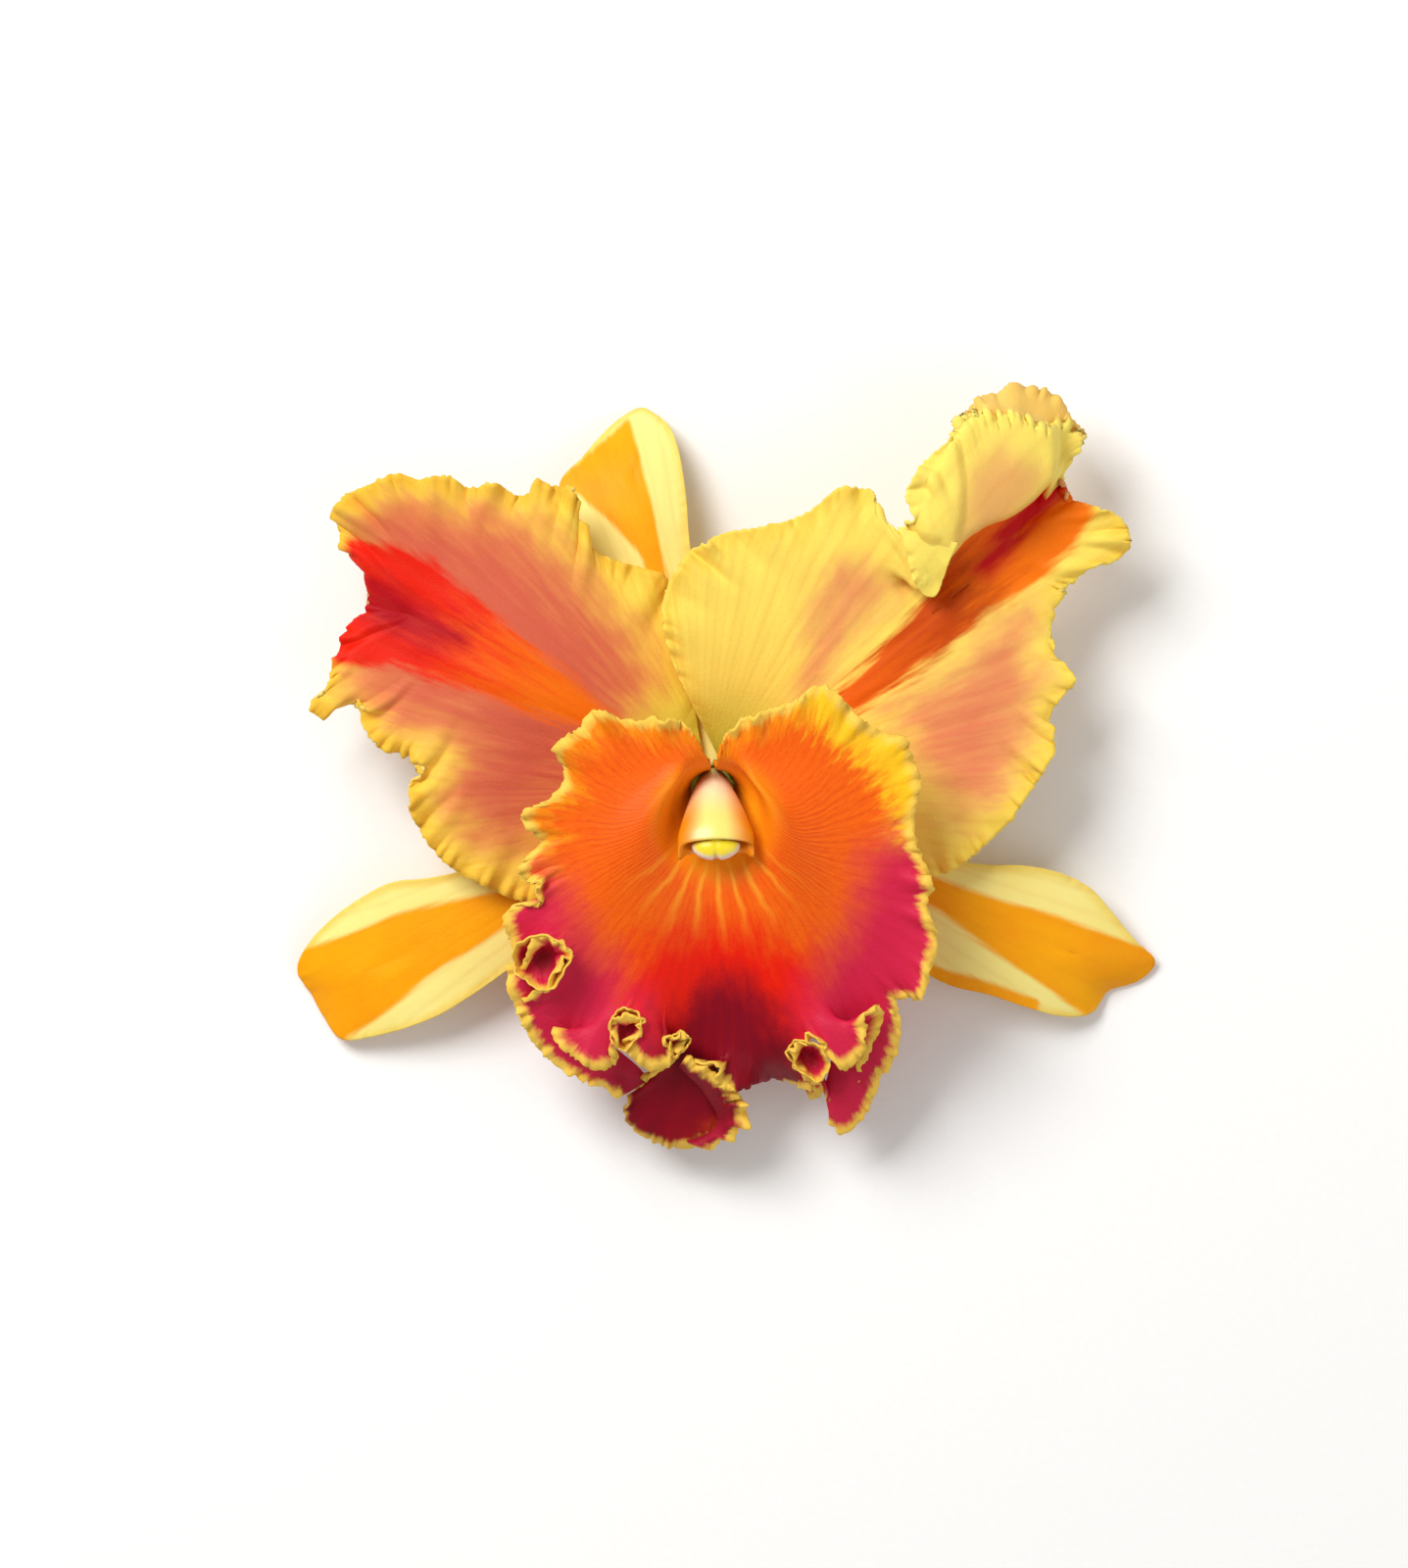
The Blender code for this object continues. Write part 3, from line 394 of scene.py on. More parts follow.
def blade_net(left, right, midrib, spans, rings, reach, cup, thickness, fold=None):
    """The coarse sheet of a blade, as rings of points from the midrib to the edge."""
    first_half, second_half = (smooth_line(side, spans + 1, GATHER) for side in (left, right))
    edge = np.vstack([first_half, second_half[1:]])
    share = np.concatenate([np.linspace(0, 1, spans + 1), np.linspace(1, 0, spans + 1)[1:]])
    along = RIB_LEAD * np.sin(0.5 * math.pi * share) ** RIB_POWER + RIB_REST * share
    spine = smooth_line(midrib, SPINE_COUNT)
    feet = sampled(along * (SPINE_COUNT - 1), np.arange(SPINE_COUNT), spine)
    columns = 2 * spans + 1
    points = [feet[i] for i in range(spans + 1)]
    rows = [[min(i, 2 * spans - i) for i in range(columns)]]
    plain = blurred(edge, reach)
    for s in rings:
        waves = blurred(edge, reach * (1 - s) ** WAVE_FADE) - plain
        target = plain + waves * s ** 2
        row = feet + (target - feet) * s
        row[:, 2] = feet[:, 2] + (target[:, 2] - feet[:, 2]) * s ** cup
        if fold is not None:
            row = fold(row, feet, target, share, s)
        rows.append(list(range(len(points), len(points) + columns)))
        points.extend(row)
    return eased_apart(np.array(points), rows, thickness)[np.array(rows)]


def blade_fine(net, ring_count, column_count):
    """The blade's sheet made fine, smooth across its midrib and round its tip."""
    opposite, straight = net[1][::-1], 2 * net[0] - net[1]
    spans = net.shape[1] // 2
    from_tip = np.abs(np.arange(net.shape[1]) - spans) / (TIP_SHARE * spans)
    before = opposite + (straight - opposite) * ease(1 - from_tip)[:, None]
    return fine_net(net, before, ring_count, column_count)


# %% [markdown]
# A marking is an outline on the sheet as seen from above. A blade's UV map has its veins,
# which fan out from behind the claw, as straight lines.

# %% Outlines and vein maps
CLAW_BEHIND, MM_PER_CM = 6.0, 10


def within(fine, outline):
    """How deep each point lies inside an outline seen from above, in mm; below 0 outside."""
    x, y = fine[..., 0].ravel(), fine[..., 1].ravel()
    corners = np.array(outline, dtype=float)
    nearest, inside = np.full(len(x), 1e9), np.zeros(len(x), dtype=bool)
    for (ax, ay), (bx, by) in zip(corners, np.roll(corners, -1, axis=0)):
        length = (bx - ax) ** 2 + (by - ay) ** 2
        t = np.clip(((x - ax) * (bx - ax) + (y - ay) * (by - ay)) / length, 0, 1)
        nearest = np.minimum(nearest, np.hypot(x - ax - t * (bx - ax), y - ay - t * (by - ay)))
        crosses = (ay > y) != (by > y)
        at = ax + (y - ay) / np.where(by == ay, 1e-9, by - ay) * (bx - ax)
        inside ^= crosses & (x < at)
    return np.where(inside, nearest, -nearest).reshape(fine.shape[:2])


def vein_map(fine, midrib):
    """UV of a blade: the direction from its claw in radians, and the distance in cm."""
    away = fine[..., :2] - np.array(midrib[0][:2])
    ahead = unit(np.subtract(midrib[-1], midrib[0])[:2])
    side = away[..., 0] * -ahead[1] + away[..., 1] * ahead[0]
    return np.stack([np.arctan2(side, away @ ahead + CLAW_BEHIND),
                     np.hypot(away[..., 0], away[..., 1]) / MM_PER_CM], axis=2)


# %% [markdown]
# ## The left petal
# The broad left petal has a frilled edge and a wedge of orange that deepens to crimson toward
# its tip. Pink flushes both sides of the wedge, and the edge stays yellow.

# %% Left petal, its lines and markings
LEFT_PETAL_UPPER = [
    (-1.5, 3.9, 1.1), (-3, 13, 1.8), (-4, 22, 2.6), (-5.5, 30, 3.6), (-8, 36, 4.6),
    (-14.5, 38, 5.4), (-19.5, 40, 5.2), (-22.3, 43.5, 6.4), (-22.8, 49, 8.6), (-24.8, 51.8, 9),
    (-27, 50.8, 6.6), (-29.8, 52.8, 9), (-31.5, 50, 5.8), (-34, 50, 6.8), (-37.5, 52.2, 9),
    (-40.2, 51, 6.4), (-43, 51.6, 7), (-46, 53.4, 9.2), (-50, 52.5, 6.8), (-54.5, 53.4, 8.6),
    (-59.5, 51.5, 6.4), (-64, 49.2, 6.4), (-66, 46.3, 4.8), (-64.5, 43.3, 3.4), (-61, 39.5, 2.2),
    (-58.8, 36, 1.8), (-58.3, 32, 1.8),
]
LEFT_PETAL_LOWER = [
    (-58.3, 32, 1.8), (-60.8, 29, 1.8), (-63.6, 25.8, 2.2), (-65.6, 20.5, 3.6),
    (-66.3, 16.4, 5.6), (-69.3, 13.8, 7), (-68.6, 11.6, 6), (-65.4, 13, 3.6), (-62.3, 14.3, 3.2),
    (-60.8, 12, 5.2), (-59.2, 8.2, 6.4), (-56.5, 5.5, 4.4), (-52.5, 5.2, 3.2), (-49.7, 4.4, 4.8),
    (-50.2, 1.5, 6.6), (-52.5, -2.3, 7.4), (-52, -5.5, 6.2), (-49.5, -9.6, 4.6),
    (-46.6, -13.4, 5.4), (-43, -15.9, 3.8), (-39.8, -17.4, 4.2), (-35.5, -19.7, 2.6),
    (-28, -20.5, 2.2), (-20, -16, 1.8), (-12, -9, 1.4), (-4, -0.7, 1.1),
]
LEFT_PETAL_MIDRIB = [
    (-2.8, 1.6, 1.1), (-12, 6.3, 3.2), (-24, 12.8, 6.2), (-36, 19.5, 7.2), (-47, 26, 5.6),
    (-52.5, 29.4, 3.8),
]
LEFT_STRIPE = [
    (-12, 8.4), (-20.5, 14.8), (-28.1, 21.5), (-38.2, 30.3), (-48.2, 38.3), (-55, 41.2),
    (-62.5, 42.6), (-66, 34), (-66, 20), (-55, 20.2), (-48.2, 17.6), (-41.5, 15.8), (-34.8, 13.1),
    (-28.1, 10.9), (-20.3, 9.4),
]
LEFT_CORE = [
    (-40, 27), (-46, 29.6), (-52, 33.6), (-57, 37), (-62, 38), (-62, 28), (-58, 25.6),
    (-50, 22.6), (-42, 22.4),
]
LEFT_FLUSH = [
    (-65, 47), (-56, 52), (-48, 51), (-38, 49), (-29, 45), (-20, 36), (-12, 28), (-10, 17),
    (-14, 5), (-17, 0), (-26, -9), (-35, -13.4), (-42, -11.4), (-48, -3), (-46.4, 5), (-55, 8),
    (-61, 13), (-66, 18), (-62, 34),
]
print("left petal:", len(LEFT_PETAL_UPPER + LEFT_PETAL_LOWER), "points on its edge")

# %% Left petal
PETAL_THICKNESS, PETAL_CUP, PETAL_SWELL = 0.9, 1.5, (0.13, 0.12)
PETAL_RINGS = (0.14, 0.28, 0.41, 0.53, 0.65, 0.78, 0.9, 1.0)
LEFT_SPANS, LEFT_REACH, LEFT_COUNTS = 38, 0.16, (50, 640)
# A slow undulation of the margin, and the fine frill on it
LEFT_FRILLS = ((1.3, 15.0, 0.0, 5.1, 40.0, 11.0), (0.8, 5.0, 0.5, 0.4, 34.0, FRILL_LENGTH))


def petal_values(fine, stripe, core, flush):
    return {"rim": rim_distance(fine), "stripe": within(fine, stripe),
            "core": within(fine, core), "flush": within(fine, flush)}


left_net = blade_net(LEFT_PETAL_UPPER, LEFT_PETAL_LOWER, LEFT_PETAL_MIDRIB, LEFT_SPANS,
                     PETAL_RINGS, LEFT_REACH, PETAL_CUP, PETAL_THICKNESS)
left_fine = blade_fine(left_net, *LEFT_COUNTS)
left_fine = crinkled(left_fine, vein_map(left_fine, LEFT_PETAL_MIDRIB), PETAL_SWELL[0])
left_fine = frilled(left_fine, *LEFT_FRILLS)
petal_left = tissue_sheet("left_petal", left_fine, vein_map(left_fine, LEFT_PETAL_MIDRIB),
                          petal_values(left_fine, LEFT_STRIPE, LEFT_CORE, LEFT_FLUSH),
                          PETAL_THICKNESS)
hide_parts("petal_left")

# %% [markdown]
# ## The right petal
# The right petal's upper side stands up in a tall fold: from the blade it rises behind a
# valley, leans over as a crest, and comes down past a ridge. The stripe runs on under it.

# %% Right petal, its lines and markings
RIGHT_PETAL_UPPER = [
    (1.4, 3.9, 1.1), (-1.8, 10.5, 4.6), (-5.2, 16.8, 7), (-7.6, 22.7, 8.6), (-8.9, 28.2, 9.6),
    (-7.9, 33.8, 10.2), (-4.8, 39.2, 10.4), (1.3, 42.9, 10.6), (7.5, 44.2, 9.4), (13.2, 45.5, 9),
    (18.5, 48.3, 10), (21.5, 51.3, 11.4), (25, 50.5, 9.6), (28.8, 51.2, 11.4), (28.6, 48.6, 10.8),
    (26.6, 45.2, 9.4), (30.4, 44.4, 10.4), (33.4, 41.8, 12), (36.8, 41.4, 14.2),
    (35.4, 44.4, 15.6), (32.8, 48, 15.8), (34, 52.5, 15.6), (37, 56.2, 15.4), (40, 58.6, 15.4),
    (42, 62, 15.2), (43.6, 64.2, 13.4), (46.4, 66.6, 9.6), (50.5, 68.3, 7), (56, 68.5, 5.6),
    (59.8, 66.8, 5), (61.4, 63.6, 5.4), (64.2, 61.4, 5.4), (63.4, 57.8, 5), (57.9, 51.8, 4),
]
RIGHT_PETAL_LOWER = [
    (57.9, 51.8, 4), (59.6, 49.9, 4.2), (64, 48.4, 4), (68.2, 47, 4.4), (71.4, 44.8, 4),
    (72.2, 41.2, 2.8), (70.4, 38.7, 2.4), (65.6, 37, 3.2), (61.6, 34.8, 3.2), (58.8, 31.4, 2.6),
    (57.3, 27.2, 2.8), (60, 23.3, 5.4), (58.2, 21.6, 3.6), (63, 18.4, 6.4), (60.2, 14.6, 5),
    (58.3, 10.9, 4.2), (59.2, 6, 6.2), (57, 1.6, 5.2), (54.2, -2.6, 5.8), (51.4, -6.6, 4.4),
    (46, -11.6, 4.8), (40.5, -15.5, 3), (33, -16.5, 2.4), (26, -15, 2), (17, -11, 1.6),
    (4.1, -0.4, 1.1),
]
RIGHT_PETAL_MIDRIB = [
    (2.7, 1.8, 1.1), (12, 8.6, 3), (24, 17.6, 5), (37, 28.4, 5.6), (45, 35.2, 4.8),
    (50.4, 40, 3.8), (53.4, 44.6, 3.2),
]
RIGHT_STRIPE = [
    (14, 9.4), (22, 16.8), (25.7, 20.2), (29.1, 24.4), (36.6, 32.4), (39.6, 38.5), (42.4, 43.7),
    (45.9, 48.2), (52.1, 52), (57.8, 55), (64.4, 50.6), (65.6, 47.2), (62.7, 40.3), (57.6, 36.1),
    (52.6, 32.8), (45.9, 27.7), (39.2, 21.8), (32.4, 16.8), (24.5, 11.8),
]
RIGHT_CORE = [
    (45.5, 37), (48.4, 41.6), (50.6, 45.6), (54, 49.6), (58.5, 53.6), (62, 51), (58, 47.6),
    (54.6, 44), (51.4, 40.4), (47.5, 36),
]
RIGHT_FLUSH = [
    (30, 12.6), (38, 19.6), (46, 26.6), (54, 32.6), (58.5, 30), (55.4, 24), (57.4, 18),
    (55.8, 10), (55, 2), (50, -6), (42, -7), (34, 2),
]
RIGHT_PEACH = [(14, 12), (20, 17), (27, 26), (33, 34), (27, 39.5), (20, 40), (16, 32), (15, 22)]
print("right petal:", len(RIGHT_PETAL_UPPER + RIGHT_PETAL_LOWER), "points on its edge")

# %% The tall fold
FOLD = [  # where along the upper edge, the crest there, and the ridge behind it
    (0.48, (34, 34.4, 9), (32.4, 39, 10)), (0.54, (36.4, 33.4, 10), (35, 38, 12.6)),
    (0.6, (39.6, 38, 12), (36.6, 44, 15.4)), (0.66, (43.2, 42.4, 13.4), (38, 51.6, 16)),
    (0.72, (46.6, 44.6, 13.6), (42, 57.5, 16)), (0.77, (50.6, 46.2, 13.2), (46.6, 63.6, 15)),
    (0.82, (54.4, 48.8, 12.6), (51, 63.4, 14.6)), (0.87, (58, 52.2, 11.8), (57.4, 60.4, 12.8)),
    (0.93, (61.2, 56, 9.8), (61.6, 58.4, 10.4)), (0.97, (62, 57.2, 7.6), (62.4, 57.8, 8)),
]
FOLD_KNOTS = (0.0, 0.28, 0.53, 0.78, 1.0)
# Where along the petal the fold starts and ends, and over how much it comes and goes
FOLD_STARTS, FOLD_COMES, FOLD_ENDS, FOLD_GOES = 0.40, 0.1, 0.99, 0.12
VALLEY_BEHIND, VALLEY_BELOW = 3.0, 6.4
# The fold's front sheet up to its frilled crest, the lobe standing in front, and a blush
FRONT_SHEET = [
    (30, 30), (36, 30), (48, 38), (60, 48), (66, 58), (60.6, 61.8), (56.9, 60.4), (54.4, 61.6),
    (51.2, 62.7), (48, 62), (45, 63.2), (42.6, 61.4), (40.8, 60.4), (36, 58), (28, 48),
]
FRONT_LOBE = [
    (41.6, 58.6), (42.7, 52), (42.5, 45.7), (40.9, 38.6), (38.9, 41.6), (34.6, 43), (32, 44.6),
    (30, 46), (30, 52), (36, 60),
]
FOLD_BLUSH = [(43.4, 42), (47.6, 43), (54.6, 49), (55, 53), (50, 55.6), (44.4, 53)]


def tall_fold(row, feet, target, share, s):
    """The right petal's upper side stands up in a crest that leans over the midrib."""
    places, crests, ridges = zip(*FOLD)
    crest, ridge = (sampled(share, places, np.array(line)) for line in (crests, ridges))
    strength = ease((share - FOLD_STARTS) / FOLD_COMES) * ease((FOLD_ENDS - share) / FOLD_GOES)
    place = np.interp(s, FOLD_KNOTS, range(len(FOLD_KNOTS)))
    for i in np.flatnonzero(strength[:(len(share) + 1) // 2]):
        outward = unit((target[i] - feet[i]) * np.array([1.0, 1.0, 0.0]))
        valley = crest[i] + VALLEY_BEHIND * outward - np.array([0.0, 0.0, VALLEY_BELOW])
        folded = through([feet[i], valley, crest[i], ridge[i], target[i]], place)
        row[i] += strength[i] * (folded - row[i])
    return row


print("tall fold:", len(FOLD), "sections")

# %% Right petal
RIGHT_SPANS, RIGHT_REACH, RIGHT_COUNTS = 46, 0.09, (60, 780)
RIGHT_FRILLS = ((1.2, 14.0, 0.0, 1.1, 40.0, 11.0), (0.7, 4.5, 0.5, 2.2, 34.0, FRILL_LENGTH))
# Share of the rib and of the edge where the valley lies, and how softly the fold begins there
VALLEY_SHARE, VALLEY_ACROSS, VALLEY_ALONG = 0.42, 0.1, 0.06
# The lobe in front stands clear by so much, and the one behind the crest, past y, lies lower
LOBE_RISE, LOBE_SOFT, REAR_DROP, REAR_SOFT, REAR_FROM = 1.0, 1.8, 3.2, 0.7, 52.0
FAR = 9.0  # a depth that is well inside or outside every marking

right_net = blade_net(RIGHT_PETAL_UPPER, RIGHT_PETAL_LOWER, RIGHT_PETAL_MIDRIB, RIGHT_SPANS,
                      PETAL_RINGS, RIGHT_REACH, PETAL_CUP, PETAL_THICKNESS, fold=tall_fold)
right_fine = blade_fine(right_net, *RIGHT_COUNTS)
right_uv = vein_map(right_fine, RIGHT_PETAL_MIDRIB)
# Past the valley the fold is another side of the petal, which has no stripe
across, along = (np.linspace(start, 1, count) for start, count in zip((0, -1), RIGHT_COUNTS))
on_fold = (ease((across[:, None] - VALLEY_SHARE) / VALLEY_ACROSS)
           * ease((1 - np.abs(along) - VALLEY_SHARE) / VALLEY_ALONG) * (along < 0))
lobe_depth = within(right_fine, FRONT_LOBE)
x, y = right_fine[..., 0], right_fine[..., 1]
jagged = 0.6 * np.sin(2.7 * x + 1.2 * np.sin(1.9 * y)) + 0.4 * np.sin(6.3 * x + y)
front_depth = within(right_fine, FRONT_SHEET) + jagged
rear_drop = REAR_DROP * ease(-front_depth / REAR_SOFT) * (y > REAR_FROM)
right_fine[..., 2] += on_fold * (LOBE_RISE * ease(lobe_depth / LOBE_SOFT + 0.5) - rear_drop)
right_fine = frilled(crinkled(right_fine, right_uv, PETAL_SWELL[1]), *RIGHT_FRILLS)
right_values = petal_values(right_fine, RIGHT_STRIPE, RIGHT_CORE, RIGHT_FLUSH)
right_values["peach"] = within(right_fine, RIGHT_PEACH)
right_values["fold"] = on_fold
right_values["blush"] = within(right_fine, FOLD_BLUSH)
# lobe and behind place the fold's painted shade: along the front lobe's outline, and on the lower
# lobe behind the crest
right_values["lobe"] = np.abs(lobe_depth) * on_fold + FAR * (1 - on_fold)
right_values["behind"] = np.where(right_fine[..., 1] > REAR_FROM, -front_depth, -FAR) * on_fold
petal_right = tissue_sheet("right_petal", right_fine, right_uv, right_values, PETAL_THICKNESS)
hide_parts("petal_right")

# %% [markdown]
# A small tongue of the same edge curls over the stripe at the fold's foot. Its ribs are
# straight, from a line up its middle to its free edge.

# %% The curled tongue
TONGUE_EDGE = [
    (31.6, 44, 13.2), (32.6, 41.8, 13.6), (33.4, 38.6, 13.2), (34.2, 35.2, 12.2),
    (36.2, 32.4, 10.8), (38.4, 32.4, 10.8), (39.6, 35.2, 12.6), (40.6, 38, 14.2),
    (42, 41.2, 15.2),
]
TONGUE_MIDDLE = [(36.2, 42.6, 14.6), (36.5, 40.6, 14.2), (36.8, 38, 13.4), (37, 35.6, 12.2)]
TONGUE_EDGE_COUNT, TONGUE_RINGS, TONGUE_THICKNESS = 241, 20, 0.7
TONGUE_FRILL = (0.35, 2.2, 0.12, 3.7, 3.0, 5.0)


def ribbed(inner, outer, rings):
    """A sheet of straight ribs from one line to another."""
    return inner + (outer - inner) * np.linspace(0, 1, rings)[:, None, None]


middle_line = smooth_line(TONGUE_MIDDLE, TONGUE_EDGE_COUNT // 2 + 1)
middle_line = np.vstack([middle_line, middle_line[-2::-1]])
tongue_fine = ribbed(middle_line, smooth_line(TONGUE_EDGE, TONGUE_EDGE_COUNT), TONGUE_RINGS)
tongue_fine = frilled(tongue_fine, TONGUE_FRILL)
tongue_rim = rim_distance(tongue_fine)
marks = dict.fromkeys(("stripe", "core", "flush", "peach", "blush", "behind"), -FAR)
marks.update(lobe=FAR, fold=1.0)
tongue_values = {key: np.full(tongue_rim.shape, value) for key, value in marks.items()}
tongue_values["rim"] = tongue_rim
tongue = tissue_sheet("curled_tongue", tongue_fine, vein_map(tongue_fine, RIGHT_PETAL_MIDRIB),
                      tongue_values, TONGUE_THICKNESS)

# %% [markdown]
# ## The three sepals
# Sepals are plainer: narrow, thicker blades with smooth edges, pale yellow with one broad
# amber stripe. They bend back until their tips touch what the flower lies on.

# %% Sepals, their lines and stripes
SEPALS = {  # each one's two sides, midrib and stripe
    "dorsal_sepal": (
        [(-2.5, 3.2, -0.3), (-8, 13, -0.9), (-17, 28, -1.6), (-24.5, 40, -2.2),
         (-26.9, 50.5, -4.6), (-22.6, 56.4, -6.4), (-17.2, 62.4, -9.6), (-12.6, 65.2, -12)],
        [(-12.6, 65.2, -12), (-8.6, 63.2, -9.6), (-6.2, 59.2, -6.4), (-4.6, 50.5, -3.4),
         (-3.8, 41, -2), (-2, 28, -1.4), (0.8, 15, -0.9), (2.5, 3.2, -0.3)],
        [(0, 3.2, -0.3), (-3.5, 15, -0.9), (-8, 31, -1.2), (-12.2, 47, -2), (-13.6, 54, -3.8)],
        [(-27.5, 51.5), (-21, 57), (-14.6, 62.6), (-13.2, 58), (-11.2, 50), (-8.9, 39.6),
         (-4, 20), (-2, 8), (-5, 10), (-8, 25), (-11.6, 38.8), (-17, 45.2), (-23, 50)],
    ),
    "lateral_sepal_left": (
        [(-4, 0.2, -0.3), (-11, -1, -0.7), (-23, -6.5, -1.2), (-35, -11.8, -1.8),
         (-46, -15.8, -2.2), (-55.5, -17, -3.4), (-64, -21.8, -6.2), (-70, -27.6, -8.6),
         (-72, -32.4, -10.8), (-69.6, -36.4, -12)],
        [(-69.6, -36.4, -12), (-67.6, -40, -12), (-64.6, -44.2, -10.2), (-58, -43.6, -8),
         (-49, -40.8, -5.4), (-42, -36.8, -3.8), (-34.6, -31.6, -2.6), (-23, -22.6, -1.6),
         (-11, -12.6, -0.9), (-1.2, -4, -0.3)],
        [(-2.6, -1.9, -0.3), (-14, -8.6, -0.8), (-30, -17.6, -1.6), (-46, -26, -3),
         (-58, -31.6, -5.8)],
        [(-6, -3), (-22, -11.6), (-36.5, -18.6), (-44.9, -20.4), (-55, -22.9), (-66.7, -27.6),
         (-74, -30), (-74, -42), (-65, -46), (-63.2, -43.6), (-58.3, -40.3), (-49.9, -33.6),
         (-41.5, -27.9), (-35.6, -24.4), (-22, -16.5)],
    ),
    "lateral_sepal_right": (
        [(4, 0.2, -0.3), (11, -1, -0.7), (24, -6.8, -1.2), (36, -11.8, -1.8), (46, -13.8, -2.2),
         (56.5, -14.4, -3.4), (65.2, -17.8, -6), (71.8, -25.4, -8.6), (76.9, -30.8, -11.4)],
        [(76.9, -30.8, -11.4), (75.4, -33.6, -12), (70, -35, -12), (66.6, -38, -11.2),
         (64.2, -40.8, -9.4), (55, -38.8, -6.2), (46.4, -36, -4), (37.8, -33.4, -2.8),
         (25, -23.8, -1.6), (12, -12.8, -0.9), (1.2, -4, -0.3)],
        [(2.6, -1.9, -0.3), (15, -8.2, -0.8), (31, -16.2, -1.6), (48, -24.2, -3),
         (62, -29.2, -6.2)],
        [(6, -3), (22, -10), (38.3, -16.5), (47.6, -19.5), (56, -22), (66, -25.4), (78, -30),
         (78, -36), (68, -37), (64.8, -39.9), (56, -33.8), (47.6, -27.9), (39.2, -21.6),
         (22, -13.4)],
    ),
}
SEPAL_UNDERSTRIPE = [
    (30, -29), (38.3, -31.6), (46, -33.8), (56, -37.6), (56, -42), (44, -40), (30, -33),
]
print("sepals:", sorted(SEPALS))

# %% Sepals
SEPAL_THICKNESS, SEPAL_CUP, SEPAL_RINGS = 1.1, 1.6, (0.3, 0.6, 0.84, 1.0)
SEPAL_SPANS, SEPAL_REACH, SEPAL_COUNTS = 13, 0.06, (34, 300)
SEPAL_FRILL = (0.12, 3.0, 0.06, 5.0, CALM_ENDS, FRILL_LENGTH)

sepals = []
for name, (upper, lower, midrib, stripe) in SEPALS.items():
    net = blade_net(upper, lower, midrib, SEPAL_SPANS, SEPAL_RINGS, SEPAL_REACH, SEPAL_CUP,
                    SEPAL_THICKNESS)
    fine = frilled(blade_fine(net, *SEPAL_COUNTS), SEPAL_FRILL)
    values = {"rim": rim_distance(fine), "stripe": within(fine, stripe)}
    if name == "lateral_sepal_right":
        values["stripe"] = np.maximum(values["stripe"], within(fine, SEPAL_UNDERSTRIPE))
    made = tissue_sheet(name + "_blade", fine, vein_map(fine, midrib), values, SEPAL_THICKNESS)
    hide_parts(name)
    sepals.append(made)

# %% [markdown]
# ## The lip
# The lip is the showpiece: a tube rolled round the column that flares into a wide limb. Its
# free edge curls, pleats and rings back on itself. The edge is drawn as one long run of points,
# and ribs fan out to it from the tube's mouth.

